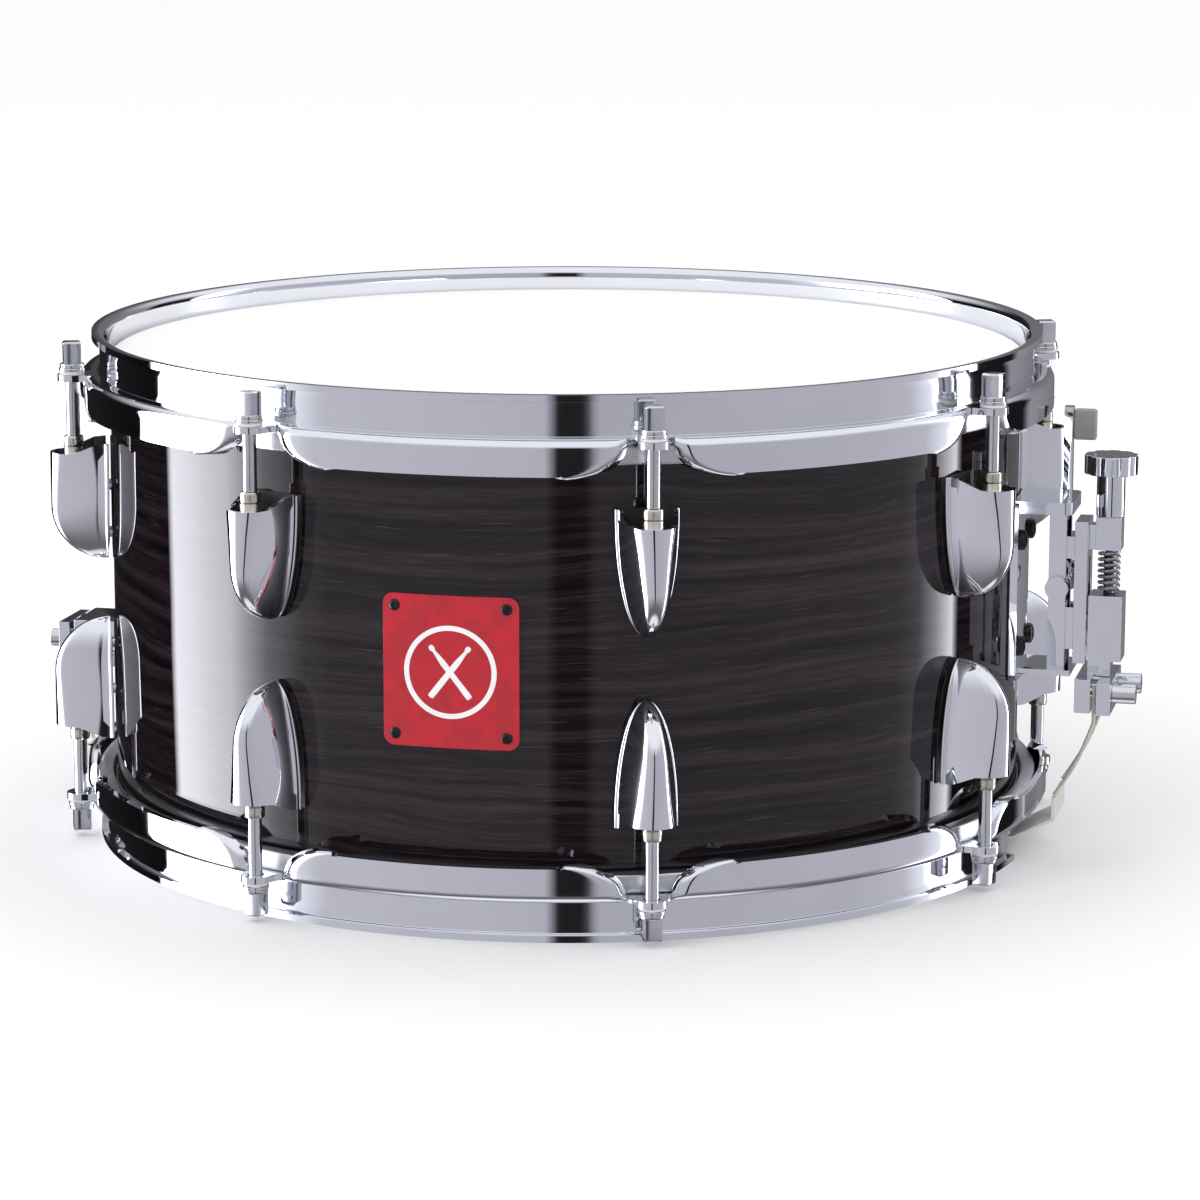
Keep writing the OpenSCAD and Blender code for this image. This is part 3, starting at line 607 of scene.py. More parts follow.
skirt_share = [math.sin(math.pi / 2 * (i + 1) / SKIRT_STEPS) for i in range(SKIRT_STEPS)]
strip_rows += [(SKIRT_RADIUS, 164.65 - (164.65 - 155.9) * share) for share in skirt_share]
sector = [-SECTOR_EDGE] + [-s for s in reversed(HALF_SECTOR)] + [0.0] + HALF_SECTOR
print(len(strip_rows), "rows and", len(sector) * 8, "columns")


# %% [markdown]
# A corner of the grid is a column and a row, and one function turns that pair into a place on the
# hoop. Cutting faces out while the grid is still flat is simpler than cutting curved steel. The
# lower hoop also has two gates at the floor side, where the straps of the wires pass through.

# %% Place every corner of the strip
def numbered_grid(columns, rows):
    """A grid whose vertices sit at whole numbers: x is the column and y is the row."""
    bm = bmesh.new()
    bmesh.ops.create_grid(bm, x_segments=columns, y_segments=rows, size=0.5)
    low = min(v.co.x for v in bm.verts)
    span = -2 * low
    for v in bm.verts:
        v.co = (round((v.co.x - low) / span * columns), round((v.co.y - low) / span * rows), 0)
    return bm


def skirt_end(row):
    """How far from the rod the skirt starts at this row, so that its lower corner is round."""
    if row <= LEDGE_END:
        return GAP
    if row < SKIRT_TOP:
        return GAP + SHOULDER * (row - LEDGE_END) / (SKIRT_TOP - LEDGE_END)
    share = skirt_share[row - SKIRT_TOP]
    rounding = 1 - math.sqrt(max(0.0, 1 - share ** 2.4))
    return GAP + SHOULDER + CORNER_SLANT * share ** 1.5 + CORNER_ROUND * rounding


def strip_place(column, row):
    sector_number, step = divmod(column, len(sector))
    away = sector[step]
    radius, height = strip_rows[row]
    if row > LEDGE_END and abs(away) >= GAP:
        end = skirt_end(row)
        squeeze = (SECTOR_EDGE - end) / (SECTOR_EDGE - GAP)
        away = math.copysign(end + (abs(away) - GAP) * squeeze, away)
        near = max(0.0, 1 - (abs(away) - end) / BEND_WIDTH)
        share = min(1.0, (row - LEDGE_END) / 5)
        radius -= BEND_IN * near ** 1.7 * share
    turn = math.radians(ROD_ANGLES[sector_number % 8]) + away / SKIRT_RADIUS
    return (radius * MM * math.cos(turn), radius * MM * math.sin(turn), height * MM)


def hoop_strip(with_gates):
    bm = numbered_grid(len(sector) * 8, len(strip_rows) - 1)
    middle = len(HALF_SECTOR) + 1
    unwanted = []
    for f in bm.faces:
        centre = f.calc_center_median()
        across = abs(centre.x % len(sector) - middle)
        if centre.y > LEDGE_END and across < GAP_COLUMNS:
            unwanted.append(f)
        turn = math.degrees(sum(math.atan2(*strip_place(int(v.co.x), 0)[1::-1]) for v in f.verts) / 4)
        from_gate = min(abs(turn), abs(abs(turn) - 180))
        if with_gates and from_gate < GATE_ANGLE and centre.y < GATE_ROWS:
            unwanted.append(f)
    bmesh.ops.delete(bm, geom=list(set(unwanted)), context="FACES")
    for v in bm.verts:
        v.co = strip_place(int(v.co.x), int(v.co.y))
    bmesh.ops.remove_doubles(bm, verts=bm.verts, dist=1e-6)
    return bm


# %% [markdown]
# An ear is flat, so any tiling of it will do. Its outline starts at the cut end of the ledge,
# sweeps in to a round tip about the rod, and comes back. The outline and the rod's hole are
# drawn as edges, and a triangle fill closes the space between them.

# %% Add the eight ears
EAR_RADIUS = 5.2
EAR_HOLE = 2.9
EAR_NECK = [(7.0, 171.3), (6.1, 172.3), (5.5, 173.7), (5.25, 175.3)]


def add_ear(bm, turn):
    ledge = strip_rows[LEDGE_END]
    inward = Matrix.Rotation(-turn, 4, "Z")
    shared = []
    for v in bm.verts:
        local = inward @ v.co
        off_ledge = abs(math.hypot(local.x, local.y) - ledge[0] * MM)
        if abs(local.z - ledge[1] * MM) > 1e-6 or off_ledge > 1e-5:
            continue
        if local.x > 0 and abs(math.atan2(local.y, local.x)) * SKIRT_RADIUS < GAP + 0.05:
            shared.append((local.y, v))
    shared = [v for y, v in sorted(shared, key=lambda pair: pair[0])]
    outward = Matrix.Rotation(turn, 4, "Z")
    tip = [(EAR_RADIUS * math.cos(t), ROD_CIRCLE + EAR_RADIUS * math.sin(t))
           for t in (math.radians(15 * i) for i in range(13))]
    outline = EAR_NECK + tip + [(-x, y) for x, y in reversed(EAR_NECK)]
    verts = [bm.verts.new(outward @ Vector((y * MM, x * MM, ledge[1] * MM))) for x, y in outline]
    loop = [shared[-1]] + verts + [shared[0]]
    edges = [bm.edges.new(pair) for pair in zip(loop, loop[1:])]
    edges += [bm.edges.get(pair) or bm.edges.new(pair) for pair in zip(shared, shared[1:])]
    centre = Matrix.Translation((ROD_CIRCLE * MM, 0, ledge[1] * MM))
    hole = bmesh.ops.create_circle(bm, segments=24, radius=EAR_HOLE * MM, matrix=outward @ centre)
    edges += list({e for v in hole["verts"] for e in v.link_edges})
    bmesh.ops.triangle_fill(bm, use_beauty=True, use_dissolve=False, edges=edges, normal=(0, 0, 1))


HOOP_THICKNESS = 2.3


def make_hoop(node, mirrored):
    bm = hoop_strip(with_gates=mirrored)
    for angle in ROD_ANGLES:
        add_ear(bm, math.radians(angle))
    if mirrored:
        bmesh.ops.transform(bm, matrix=MIRROR_DOWN, verts=bm.verts)
    piece = settle(bm, node + "_pressed", node, 50)
    strip = piece.modifiers.new("strip thickness", "SOLIDIFY")
    strip.thickness = HOOP_THICKNESS * MM
    strip.offset = 0
    strip.use_even_offset = True
    return soften(piece, 0.85, 3, 40)


for node, mirrored in (("batter_hoop", False), ("snare_side_hoop", True)):
    hoop = make_hoop(node, mirrored)
    print(node, "faces before thickness:", len(hoop.data.polygons))

# %% [markdown]
# ## The lugs
#
# A lug is a hollow zinc casting, die cast and then polished and plated. Its foot is a long shield
# that narrows to a round tip. A keel with a half-round nose stands up from it, widest at the open
# mouth. Its flanks slope, because a casting has to leave its die, and a small bead runs where
# they meet the foot. The casting is lofted: a grid has one row for each height and one column for
# each point of the cross section, from one edge of the foot over the nose to the other. A Solidify
# modifier then leaves the mouth and the back open, as the real casting is. Its wall is thinner
# at the tip, where there is no room for two full ones.

# %% Loft one lug
LUG_TOP = 144.0
LUG_TIP = 101.6
LUG_ROWS = 22
LUG_FOOT = 1.6
LUG_BASE = 164.0
LUG_HALF_WIDTH = 10.7
LUG_REACH = 19.8
NOSE_HALF_WIDTH = 7.7
NOSE_TAPER = 0.125
NOSE_TILTS = (0, 12, 24, 36, 48, 60, 70)
KEEL_BEND = 121


def lug_section(height_share):
    """Half of the cross section, from the front of the nose out to the foot's edge."""
    z = LUG_TOP - (LUG_TOP - LUG_TIP) * height_share
    foot = LUG_HALF_WIDTH * math.sqrt(max(0.0, 1 - height_share ** 2.2))
    down = max(0.0, (KEEL_BEND - z) / (KEEL_BEND - LUG_TIP))
    reach = LUG_FOOT + LUG_REACH * math.sqrt(max(0.0, 1 - down ** 2))
    nose = min(NOSE_HALF_WIDTH - NOSE_TAPER * (LUG_TOP - z), 0.74 * foot)
    depth = min(nose, 0.45 * (reach - LUG_FOOT))
    half = [(nose * math.sin(t), reach - depth * (1 - math.cos(t)))
            for t in map(math.radians, NOSE_TILTS)]
    start, top = half[-1]
    bead = min(1.0, 0.12 * foot, 0.3 * (top - LUG_FOOT))
    end, low = foot - bead, LUG_FOOT + 1.5 * bead
    for t in (0.22, 0.44, 0.66, 0.84, 1.0):
        half.append((start + (end - start) * (1 - (1 - t) ** 1.6), top - (top - low) * t))
    half += [(end + 0.25 * bead, LUG_FOOT + 1.25 * bead), (end + 0.7 * bead, LUG_FOOT + 1.05 * bead),
             (foot, LUG_FOOT + 0.7 * bead), (foot, LUG_FOOT)]
    return z, half


def lug_place(column, row):
    """Where a corner of the grid sits. The mouth dips in the middle and the foot hugs the shell."""
    z, half = lug_section(math.sin(math.pi / 2 * row / LUG_ROWS))
    middle = len(half) - 1
    across, rise = half[abs(column - middle)]
    if column < middle:
        across = -across
    mouth = 3.6 * min(1.0, max(0.0, (rise - 5.0) / 9.0)) * max(0.0, 1 - row / 4)
    out = LUG_BASE + rise
    if rise < 4:
        out = math.sqrt(max(0.0, out * out - across * across))
    return (out * MM, across * MM, (z - mouth) * MM)


def one_lug():
    columns = 2 * (len(lug_section(0)[1]) - 1)
    bm = numbered_grid(columns, LUG_ROWS)
    for v in bm.verts:
        v.co = lug_place(int(v.co.x), int(v.co.y))
    bmesh.ops.remove_doubles(bm, verts=bm.verts, dist=2e-5)
    return bm


# %% [markdown]
# All eight lugs of one end are one mesh, because they belong to one part of the working model. A
# vertex group carries the wall's thickness, and Solidify reads it.

# %% Cast the eight lugs of each end
def make_lugs(node, mirrored):
    around = [Matrix.Rotation(math.radians(a), 4, "Z") for a in ROD_ANGLES]
    if mirrored:
        around = [MIRROR_DOWN @ turn for turn in around]
    piece = settle(copies(one_lug(), around), node + "_cast", node, 55)
    walls = piece.modifiers.new("casting wall", "SOLIDIFY")
    walls.thickness = 1.5 * MM
    walls.offset = -1
    thin_tip = piece.vertex_groups.new(name="wall")
    for v in piece.data.vertices:
        from_tip = abs(v.co.z / MM - DRUM_HEIGHT / 2) - (LUG_TIP - DRUM_HEIGHT / 2)
        thin_tip.add([v.index], max(0.1, min(1.0, from_tip / 7)), "REPLACE")
    walls.vertex_group = "wall"
    return soften(piece, 0.35, 2, 40)


for node, mirrored in (("upper_lugs", False), ("lower_lugs", True)):
    print(node, len(make_lugs(node, mirrored).data.polygons), "faces before thickness")


# %% [markdown]
# Inside each mouth a ring holds the swivel nut by its collar. On the real lug it is cast in. Here
# it is a small spun ring, which is easier than shaping it in the loft.

# %% Set the nut seats across the lugs' mouths
seat_profile = [(2.9, 135.0), (2.9, 137.4), (4.0, 137.5), (5.6, 137.4), (5.6, 135.0)]
for node, mirrored in (("upper_lugs", False), ("lower_lugs", True)):
    seats = copies(lathe(seat_profile, 20), round_the_drum())
    if mirrored:
        bmesh.ops.transform(seats, matrix=MIRROR_DOWN, verts=seats.verts)
    settle(seats, node + "_nut_seats", node, 40)
print("sixteen nut seats")

# %% [markdown]
# ## Tension rods
#
# A rod is a long screw with a square head for the drum key, a round collar under it, and a fine
# thread on its lower end. The thread is modelled as fine ridges, since nobody sees whether they
# climb, and it ends inside the nut, so that only plain shank shows between the nut and the hoop.
# The head is a cube, scaled and bevelled on its sides and top.

# %% Turn one rod, with its collar and square head
def ridges(low, high, pitch, crest, root):
    """The outline of a thread: one crest and one root for each turn."""
    points = []
    z = low
    while z < high:
        points += [(crest, z), (root, z + pitch / 2)]
        z += pitch
    return points


def rod_profile():
    shank = [(2.35, 146.4), (2.35, 169.6)]
    collar = [(2.5, 170.3), (4.1, 170.3), (4.3, 170.5), (4.3, 171.5), (4.1, 171.8), (2.6, 171.9), (0, 171.9)]
    thread = ridges(123.0, 145.5, 1.0, 2.4, 2.05)
    return [(0, 122), (1.9, 122), (2.35, 122.6)] + thread + shank + collar


def square_head():
    bm = bmesh.new()
    size = Matrix.Diagonal((6.3 * MM, 6.3 * MM, 7.9 * MM, 1))
    bmesh.ops.create_cube(bm, size=1, matrix=Matrix.Translation((0, 0, 175.65 * MM)) @ size)
    sides = [e for e in bm.edges if abs(e.verts[0].co.z - e.verts[1].co.z) > 1e-4]
    bmesh.ops.bevel(bm, geom=sides, offset=0.6 * MM, offset_type="OFFSET", segments=2, profile=0.5,
                    affect="EDGES", material=-1)
    top = [e for e in bm.edges if min(v.co.z for v in e.verts) > 179 * MM]
    bmesh.ops.bevel(bm, geom=top, offset=0.7 * MM, offset_type="OFFSET", segments=3, profile=0.5,
                    affect="EDGES", material=-1)
    return bm


def make_rod(node, angle, mirrored):
    bm = lathe(rod_profile(), 20, closed=False, bm=square_head())
    turn = Matrix.Rotation(math.radians(angle), 4, "Z") @ Matrix.Translation((ROD_CIRCLE * MM, 0, 0))
    place = MIRROR_DOWN @ turn if mirrored else turn
    bmesh.ops.transform(bm, matrix=place, verts=bm.verts)
    return settle(bm, node + "_turned", node, 38)


for i, angle in enumerate(ROD_ANGLES):
    make_rod(f"upper_rod_{i + 1}", angle, False)
    make_rod(f"lower_rod_{i + 1}", angle, True)
print("sixteen rods, each on its own body")

# %% [markdown]
# ## Nuts and washers
#
# The rods screw into swivel nuts of pale brass that stand in the lugs' mouths, so that a rod can
# lean a little. Under each head lie a nylon washer, which keeps the tuning, and a steel one.

# %% Nuts and washers at all sixteen rods
small_turned = {
    "swivel_nuts": [(2.5, 131), (3.2, 131), (3.45, 131.3), (3.45, 137.4), (3.6, 137.6), (4.0, 137.8),
                    (4.0, 139.4), (3.6, 139.6), (3.45, 139.8), (3.45, 142.0), (3.32, 142.2),
                    (3.45, 142.4), (3.45, 145.5), (3.15, 146), (2.5, 146)],
    "nylon_washers": [(2.6, 168.0), (4.2, 168.0), (4.4, 168.2), (4.4, 168.9), (4.2, 169.1), (2.6, 169.1)],
    "steel_washers": [(2.6, 169.1), (4.4, 169.1), (4.6, 169.3), (4.6, 170.1), (4.4, 170.3), (2.6, 170.3)],
}
for node, profile in small_turned.items():
    both_ends = round_the_drum() + [MIRROR_DOWN @ place for place in round_the_drum()]
    settle(copies(lathe(profile, 28), both_ends), node + "_turned", node, 38)
    print(node, "sixteen of them")

# %% [markdown]
# ## The tension spring and its screw
#
# The spring that steadies the tension block is wound from round wire. A spin that also moves
# along its axis winds a helix. The spring is held by the carriage at the top and by the block
# below. Here it is set in place once and rides with neither of those bodies.

# %% Wind the spring
KNOB_X = 196.3
SPRING_TURNS = 7
SPRING_STEPS = SPRING_TURNS * 28
SPRING_RADIUS = 3.45
SPRING_LOW = 93.4
SPRING_HIGH = 107.8
WIRE_RADIUS = 0.62
spring = bmesh.new()
start = Matrix.Translation((SPRING_RADIUS * MM, 0, SPRING_LOW * MM))
section = bmesh.ops.create_circle(spring, cap_ends=True, segments=10, radius=WIRE_RADIUS * MM,
                                  matrix=start @ Matrix.Rotation(math.pi / 2, 4, "X"))
rise = (SPRING_HIGH - SPRING_LOW) * MM / SPRING_STEPS
bmesh.ops.spin(spring, geom=section["verts"] + list(spring.edges) + list(spring.faces), cent=(0, 0, 0),
               axis=(0, 0, 1), dvec=(0, 0, rise), angle=math.tau * SPRING_TURNS, steps=SPRING_STEPS)
bmesh.ops.transform(spring, matrix=Matrix.Translation((KNOB_X * MM, 0, 0)), verts=spring.verts)
spring_piece = settle(spring, "tension_spring_wound", "tension_spring", 60, ride=False)
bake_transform(spring_piece)
print("spring turns:", SPRING_TURNS)


# %% [markdown]
# The screw inside the spring is what the knob turns. A thread is a helix, but at this size stacked
# ridges look the same, cost fewer faces and stay closed.

# %% Cut the thread of the tension screw
SCREW_PITCH = 0.9
screw_profile = [(0, 74), (1.6, 74), (1.9, 74.4)] + ridges(75.0, 108, SCREW_PITCH, 2.0, 1.72)
screw_profile += [(1.95, 108.6), (1.95, 130.3), (0, 130.3)]
screw = lathe(screw_profile, 24, closed=False)
bmesh.ops.transform(screw, matrix=Matrix.Translation((KNOB_X * MM, 0, 0)), verts=screw.verts)
settle(screw, "tension_screw_cut", "tension_screw", 38)
print("tension screw pitch:", SCREW_PITCH, "mm")

# %% [markdown]
# ## Screw heads
#
# Small screws hold the badge and the strainer. Each has a domed head with a cross cut into it.
# The dome is spun, a cross of two bars is taken out of it with a Boolean, and copies are set
# wherever the working model has a screw. Their shanks are hidden in the wall, so only the heads
# are made.

# %% Make a domed head with a cross recess
def as_object(bm, name):
    mesh = bpy.data.meshes.new(name)
    bm.to_mesh(mesh)
    bm.free()
    made = bpy.data.objects.new(name, mesh)
    bpy.context.scene.collection.objects.link(made)
    return made


def cross_head(radius, rise):
    """A head that stands on the plane x = 0 and faces +X, as a bmesh."""
    dome = [(0, -0.6), (radius, -0.6), (radius, 0.25 * rise)]
    dome += [(radius * math.cos(t), rise * (0.25 + 0.75 * math.sin(t)))
             for t in (math.radians(15 * i) for i in range(1, 6))]
    dome += [(0, rise)]
    head = lathe(dome, 28, closed=False)
    bmesh.ops.remove_doubles(head, verts=head.verts, dist=1e-6)
    bmesh.ops.recalc_face_normals(head, faces=head.faces)
    head = as_object(head, "head")
    cutter = bmesh.new()
    for size in ((1.15, 0.3), (0.3, 1.15)):
        scale = Matrix.Diagonal((size[0] * radius * MM, size[1] * radius * MM, 1.3 * rise * MM, 1))
        bmesh.ops.create_cube(cutter, size=1, matrix=Matrix.Translation((0, 0, rise * MM)) @ scale)
    cutter = as_object(cutter, "cross")
    cut = head.modifiers.new("cross recess", "BOOLEAN")
    cut.operation = "DIFFERENCE"
    cut.object = cutter
    cut.solver = "EXACT"
    cut.use_self = True
    shaped = bpy.data.meshes.new_from_object(head.evaluated_get(bpy.context.evaluated_depsgraph_get()))
    bm = bmesh.new()
    bm.from_mesh(shaped)
    bmesh.ops.transform(bm, matrix=Matrix.Rotation(math.pi / 2, 4, "Y"), verts=bm.verts)
    for used in (head, cutter):
        bpy.data.objects.remove(used)
    return bm


def screws(node, radius, rise, places):
    bm = copies(cross_head(radius, rise), places)
    return settle(bm, node + "_heads", node, 30)


badge_places = [Matrix.Rotation(math.radians(-90 + math.degrees(sx * 19 / 164.3)), 4, "Z")
                @ Matrix.Translation((164.25 * MM, 0, (88.9 + sz * 21.5) * MM))
                for sx in (-1, 1) for sz in (-1, 1)]
strainer_places = [Matrix.Translation((166.9 * MM, y * MM, z * MM))
                   for y in (-11.5, 11.5) for z in (74.5, 112.5)]
screws("badge_screws", 1.9, 0.9, badge_places)
screws("strainer_screws", 3.6, 1.9, strainer_places)
print("badge and strainer screws set")

# %% [markdown]
# The clamp and butt screws, and the lugs' screws with their washers and gaskets, keep the shapes
# of the working model. They are small turned and stamped things, and softened edges are enough.

# %% Soften the clamp and butt screws
for node in ("clamp_screws", "butt_screws", "lug_screws", "lug_screw_washers", "lug_gaskets"):
    machined(node, 0.2)
print("fasteners softened")

# %% [markdown]
# ## The badge
#
# The badge is a thin enamelled plate, bent to the shell. It is made flat, as a badge maker
# would, and bent afterwards: every vertex keeps its distance along the plate as a distance round
# the wall. The device on it is a plain ring with a pair of crossed drumsticks.

# %% Bend flat work round the shell
BADGE_HEIGHT = 88.9
BADGE_SIZE = (46.0, 51.0)


def bend_round(bm, radius=SHELL_RADIUS):
    """Flat work in x and z, with its thickness towards -y, is laid on the front of the shell."""
    for v in bm.verts:
        turn = v.co.x / (radius * MM)
        out = radius * MM - v.co.y
        v.co = (out * math.sin(turn), -out * math.cos(turn), v.co.z)
    return bm


def plate_steps(half, corner):
    """Distances from one edge to the other, closer together in the corners."""
    inner = half - corner
    turn = [corner * math.sin(math.radians(a)) for a in (18, 36, 54, 72, 90)]
    positive = [inner * i / 7 for i in range(8)] + [inner + t for t in turn]
    return [-p for p in reversed(positive[1:])] + positive


def badge_plate(corner=3.5, thickness=0.8):
    across = plate_steps(BADGE_SIZE[0] / 2, corner)
    up = plate_steps(BADGE_SIZE[1] / 2, corner)
    bm = numbered_grid(len(across) - 1, len(up) - 1)
    for v in bm.verts:
        x, z = across[int(v.co.x)], up[int(v.co.y)]
        over = max(0.0, abs(z) - (BADGE_SIZE[1] / 2 - corner))
        half = BADGE_SIZE[0] / 2 - corner + math.sqrt(max(0.0, corner ** 2 - over ** 2))
        v.co = (x * half / (BADGE_SIZE[0] / 2) * MM, 0, (z + BADGE_HEIGHT) * MM)
    grown = bmesh.ops.extrude_face_region(bm, geom=list(bm.faces))["geom"]
    front = [g for g in grown if isinstance(g, bmesh.types.BMVert)]
    bmesh.ops.translate(bm, vec=(0, -thickness * MM, 0), verts=front)
    return bend_round(bm)


badge = settle(badge_plate(), "badge_plate_enamelled", "badge_plate", 40)
soften(badge, 0.2, 2, 50)
print("badge faces:", len(badge.data.polygons))


# %% [markdown]
# The device is made flat in front of the plate, a hair proud of it, and bent with the same
# function, so that it follows the enamel exactly. One stick lies a little over the other.

# %% Inlay the ring and the drumsticks
def flat_ring(outer, inner, low, high, steps=72):
    bm = lathe([(inner, low), (outer, low), (outer, high), (inner, high)], steps)
    bmesh.ops.transform(bm, matrix=Matrix.Rotation(math.pi / 2, 4, "X"), verts=bm.verts)
    return bm


def flat_stick(lean):
    """A drumstick seen from the side, 22 mm long, flattened into an inlay."""
    profile = [(0, -11), (0.95, -10.8), (1.05, -10), (1.0, 4), (0.55, 8.4), (0.5, 8.8), (0.85, 9.4),
               (0.95, 10.1), (0.6, 10.9), (0, 11)]
    bm = lathe(profile, 12, closed=False)
    flatten = Matrix.Diagonal((1, 0.13, 1, 1))
    bmesh.ops.transform(bm, matrix=Matrix.Rotation(math.radians(lean), 4, "Y") @ flatten, verts=bm.verts)
    return bm


device = flat_ring(15.6, 13.9, 0.75, 0.95)
for lean in (-38, 38):
    stick = flat_stick(lean)
    bmesh.ops.translate(stick, vec=(0, -0.82 * MM - (0.08 * MM if lean > 0 else 0), 0), verts=stick.verts)
    loose = bpy.data.meshes.new("stick")
    stick.to_mesh(loose)
    stick.free()
    device.from_mesh(loose)
bmesh.ops.translate(device, vec=(0, 0, BADGE_HEIGHT * MM), verts=device.verts)
settle(bend_round(device), "badge_device", "badge_plate", 40, finish=white_enamel)
print("ring and crossed sticks inlaid")

# %% [markdown]
# ## Snare wires
#
# Each snare is a thin coil, so tight that it reads as a ridged rod. A zigzag profile, spun in six
# steps, gives the ridges at a low cost, and twenty copies lie side by side.

# %% Spin one coil and lay twenty
def coil_profile(half_length, outer, inner, pitch):
    count = int(2 * half_length / pitch)
    points = [(0.0, -half_length)]
    for i in range(count):
        z = -half_length + i * pitch
        points += [(inner, z), (outer, z + pitch / 2)]
    return points + [(inner, half_length), (0.0, half_length)]


WIRE_COUNT = 20
WIRE_SPACING = 2.2
WIRE_HEIGHT = 7.2
coil = lathe(coil_profile(121.5, 0.8, 0.58, 1.3), 6, closed=False)
bmesh.ops.transform(coil, matrix=Matrix.Rotation(math.pi / 2, 4, "Y"), verts=coil.verts)
rows = [Matrix.Translation((0, (i - (WIRE_COUNT - 1) / 2) * WIRE_SPACING * MM, WIRE_HEIGHT * MM))
        for i in range(WIRE_COUNT)]
wires = settle(copies(coil, rows), "snare_wires_coiled", "snare_wires", 80)
print("snare wire faces:", len(wires.data.polygons))

# %% [markdown]
# ## Cords
#
# Two short cords tie the wires' straps to the strainer, and two more to the butt plate. Each is
# held at both ends and lies nearly straight, so a smooth curve with a round section is enough.
# It is made a mesh. The strainer's pair is set in place once and rides with no body.

# %% Lay the held cords
def held_cord(name, node, points, ride=True):
    curve = bpy.data.curves.new(name, "CURVE")
    curve.dimensions = "3D"
    curve.bevel_depth = 0.7 * MM
    curve.bevel_resolution = 3
    curve.use_fill_caps = True
    curve.resolution_u = 8
    for side in (-1, 1):
        spline = curve.splines.new("BEZIER")
        spline.bezier_points.add(len(points) - 1)
        for knot, (x, y, z) in zip(spline.bezier_points, points):
            knot.co = (x * MM, side * y * MM, z * MM)
            knot.handle_left_type = knot.handle_right_type = "AUTO"
    loose = bpy.data.objects.new(name, curve)
    bpy.context.scene.collection.objects.link(loose)
    bpy.context.view_layer.update()
    mesh = bpy.data.meshes.new_from_object(loose.evaluated_get(bpy.context.evaluated_depsgraph_get()))
    bpy.data.objects.remove(loose)
    bm = bmesh.new()
    bm.from_mesh(mesh)
    return settle(bm, name, node, 60, ride=ride)


strainer_route = [(193.6, 14, 62), (193.6, 14, 54), (193.6, 14, 48.6), (192.6, 13.9, 45.6),
                  (187.4, 13.2, 33.2), (180.2, 12.2, 21.4)]
butt_route = [(-186.4, 9, 63), (-186.4, 9, 53), (-186.4, 9, 47), (-185.8, 8.95, 43.6), (-182.8, 8.7, 32),
              (-180, 8.4, 21.4)]
strainer_cords = held_cord("snare_cords_braided", "snare_cords", strainer_route, ride=False)
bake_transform(strainer_cords)
held_cord("butt_cords_braided", "butt_cords", butt_route)
print("four held cords")

# %% [markdown]
# ## Floor, light and the room that the chrome sees
#
# Chrome has hardly a colour of its own: it shows the room. In a studio, tall white panels with
# dark gaps between them stand round a drum, and they make the upright bands on the hoops and the
# bright strip on the lacquer. The world does that job here. Mirror rays read a ramp of panels by
# their compass direction, a pale ceiling when they go up, and a dark space round a white table
# when they go down. Soft rays read a plain pale room, and the camera sees white. The Standard view
# transform keeps that white at full strength.

# %% Floor
FLOOR_HALF = 8.0
floor_bm = bmesh.new()
bmesh.ops.create_grid(floor_bm, x_segments=8, y_segments=8, size=FLOOR_HALF)
floor_mesh = bpy.data.meshes.new("floor")
floor_bm.to_mesh(floor_mesh)
floor_bm.free()
floor = bpy.data.objects.new("floor", floor_mesh)
bpy.context.scene.collection.objects.link(floor)
floor_paper = bpy.data.materials.new("floor paper")
floor_paper.use_nodes = True
paper = floor_paper.node_tree.nodes["Principled BSDF"]
paper.inputs["Base Color"].default_value = (0.93, 0.93, 0.935, 1)
paper.inputs["Roughness"].default_value = 0.9
paper.inputs["Specular IOR Level"].default_value = 0.1
floor.data.materials.append(floor_paper)
floor.visible_glossy = False
print("floor is", 2 * FLOOR_HALF, "m across")

# %% The panels of the studio
PANELS = [(-180, 11.0), (-169, 10.5), (-162, 6.0), (-156, 2.8), (-145, 0.9), (-137, 0.58), (-81.5, 0.5),
          (-79, 0.015), (-72, 0.015), (-69.5, 0.45), (0, 0.5), (14, 0.55), (21.5, 0.95), (27.5, 3.2),
          (35.5, 9.0), (37, 0.01), (57, 0.01), (61, 0.3), (96, 0.16), (107, 0.16), (111, 0.02),
          (166, 0.004), (168.5, 10.0), (176, 11.0), (180, 11.0)]


def backdrop(nodes, colour, strength):
    made = nodes.new("ShaderNodeBackground")
    made.inputs["Color"].default_value = (*colour, 1)
    made.inputs["Strength"].default_value = strength
    return made.outputs[0]


def fade(nodes, links, value, start, end):
    """0 before start and 1 after end, with a soft step between them."""
    made = nodes.new("ShaderNodeMapRange")
    made.inputs["From Min"].default_value = start
    made.inputs["From Max"].default_value = end
    made.interpolation_type = "SMOOTHSTEP"
    links.new(value, made.inputs["Value"])
    return made.outputs["Result"]


def either(nodes, links, choice, first, second):
    made = nodes.new("ShaderNodeMixShader")
    for socket, value in zip(made.inputs, (choice, first, second)):
        links.new(value, socket)
    return made.outputs[0]


def panel_ramp(nodes, links, parts, strongest):
    turn = math_node(nodes, links, "ARCTAN2", parts.outputs["Y"], parts.outputs["X"])
    share = math_node(nodes, links, "MULTIPLY_ADD", turn, 1 / math.tau)
    share.node.inputs[2].default_value = 0.5
    ramp = nodes.new("ShaderNodeValToRGB")
    stops = ramp.color_ramp.elements
    while len(stops) < len(PANELS):
        stops.new(0.5)
    for stop, (angle, level) in zip(stops, PANELS):
        stop.position = (angle + 180) / 360
        stop.color = (level / strongest, level / strongest, level / strongest * 1.08, 1)
    links.new(share, ramp.inputs["Fac"])
    return ramp.outputs["Color"]


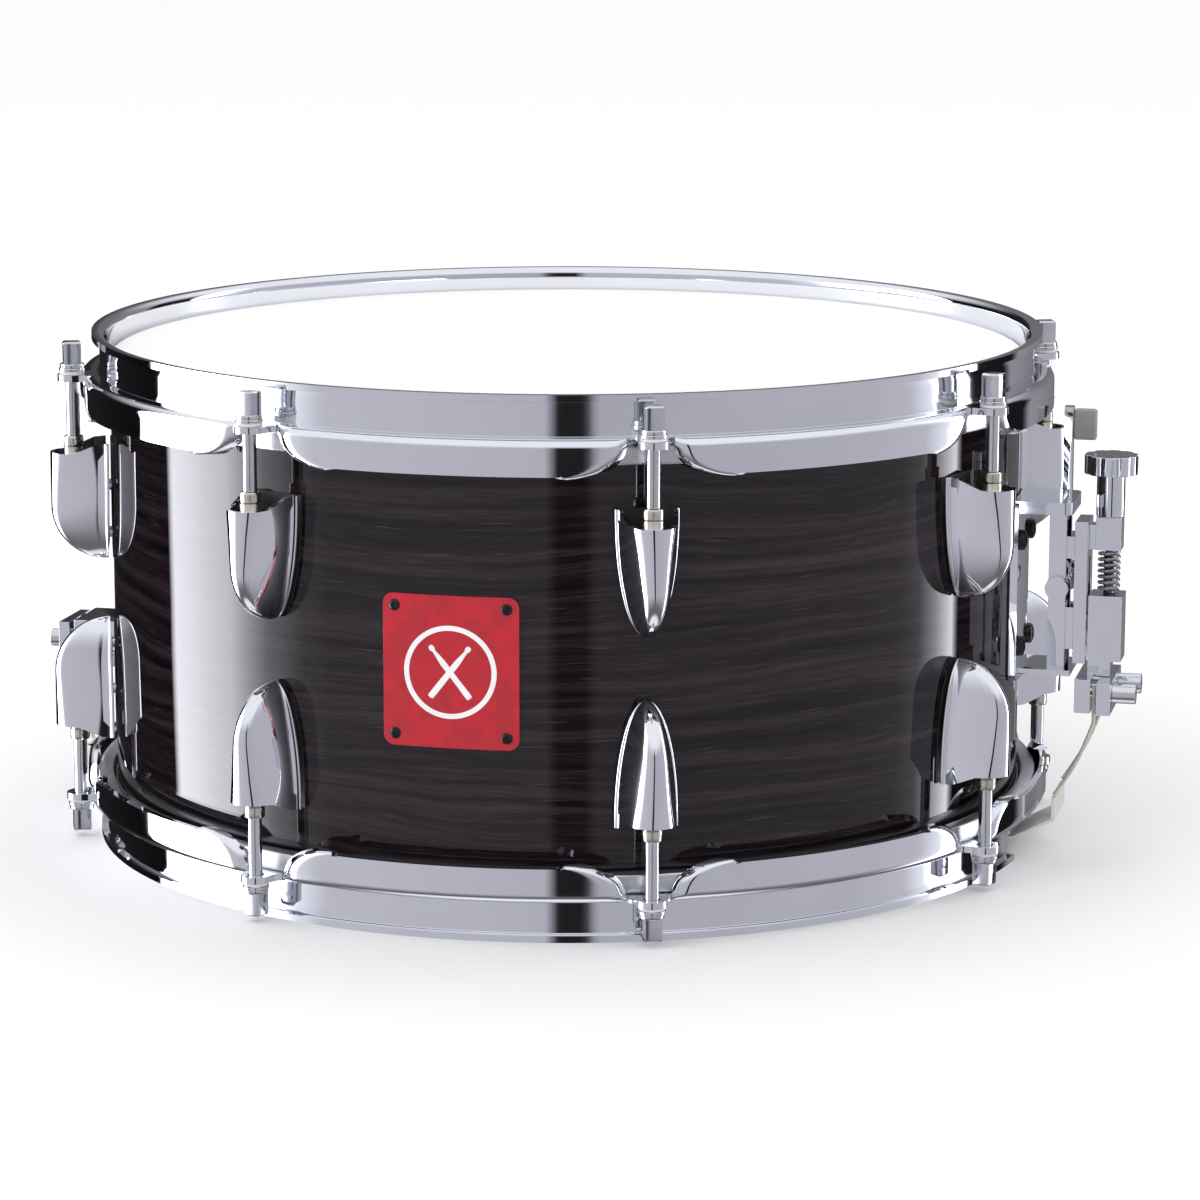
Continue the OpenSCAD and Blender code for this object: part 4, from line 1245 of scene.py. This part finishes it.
# %% [markdown]
# Light Path tells the rays apart, and Mix Shaders choose between the backdrops. The soft steps
# between them matter, because a hard edge would show as a line on every rounded corner.

# %% The whole room as one world
def build_world():
    world = bpy.data.worlds.new("studio")
    bpy.context.scene.world = world
    world.use_nodes = True
    nodes, links = world.node_tree.nodes, world.node_tree.links
    nodes.clear()
    out = nodes.new("ShaderNodeOutputWorld")
    direction = nodes.new("ShaderNodeTexCoord")
    parts = nodes.new("ShaderNodeSeparateXYZ")
    links.new(direction.outputs["Generated"], parts.inputs[0])
    up = parts.outputs["Z"]
    strongest = max(level for angle, level in PANELS)
    panels = backdrop(nodes, (1, 1, 1), strongest)
    links.new(panel_ramp(nodes, links, parts, strongest), panels.node.inputs["Color"])
    ceiling = backdrop(nodes, (0.96, 0.97, 1.0), 1.0)
    below = backdrop(nodes, (0.96, 0.97, 1.0), 0.16)
    table = backdrop(nodes, (0.97, 0.97, 1.0), 1.0)
    pale = backdrop(nodes, (1.0, 1.0, 1.0), 1.04)
    seen = backdrop(nodes, (1.0, 1.0, 1.0), 1.0)
    lower = either(nodes, links, fade(nodes, links, up, -0.35, -0.8), panels, below)
    lower = either(nodes, links, fade(nodes, links, up, -0.86, -0.96), lower, table)
    mirrored = either(nodes, links, fade(nodes, links, up, 0.25, 0.65), lower, ceiling)
    ray = nodes.new("ShaderNodeLightPath")
    room = either(nodes, links, ray.outputs["Is Glossy Ray"], pale, mirrored)
    room = either(nodes, links, ray.outputs["Is Camera Ray"], room, seen)
    links.new(room, out.inputs["Surface"])


build_world()
bpy.context.scene.view_settings.view_transform = "Standard"
print("panels round the drum:", len(PANELS))


# %% [markdown]
# The pale room does most of the lighting. Two weak lamps from above only add a direction, so that
# the drum throws a faint shadow. Chrome would show them as discs, so mirror rays skip them.

# %% A soft key light
def soft_light(name, place, size, power):
    light = bpy.data.lights.new(name, "AREA")
    light.shape = "DISK"
    light.size = size
    light.energy = power
    lamp = bpy.data.objects.new(name, light)
    lamp.location = place
    aim = Vector((0, 0, 0.09)) - Vector(place)
    lamp.rotation_euler = aim.to_track_quat("-Z", "Y").to_euler()
    lamp.visible_glossy = False
    bpy.context.scene.collection.objects.link(lamp)
    return lamp


soft_light("key", (-1.2, -1.3, 1.9), 1.4, 8)
soft_light("top", (0.3, 0.4, 2.2), 1.6, 6)
print("two soft lights")

# %% [markdown]
# ## Camera
#
# A long lens from a little above the head, turned a few degrees towards the strainer.

# %% Camera
camera_data = bpy.data.cameras.new("camera")
camera = bpy.data.objects.new("camera", camera_data)
camera.location = (0.3608, -1.5030, 0.3920)
camera.rotation_euler = (math.radians(90 - 11.38), 0, math.radians(13.5))
camera_data.lens = 130.14
camera_data.sensor_width = 36
camera_data.shift_x = 0.0275
bpy.context.scene.collection.objects.link(camera)
bpy.context.scene.camera = camera
print("camera distance:", round(camera.location.length, 3), "m")
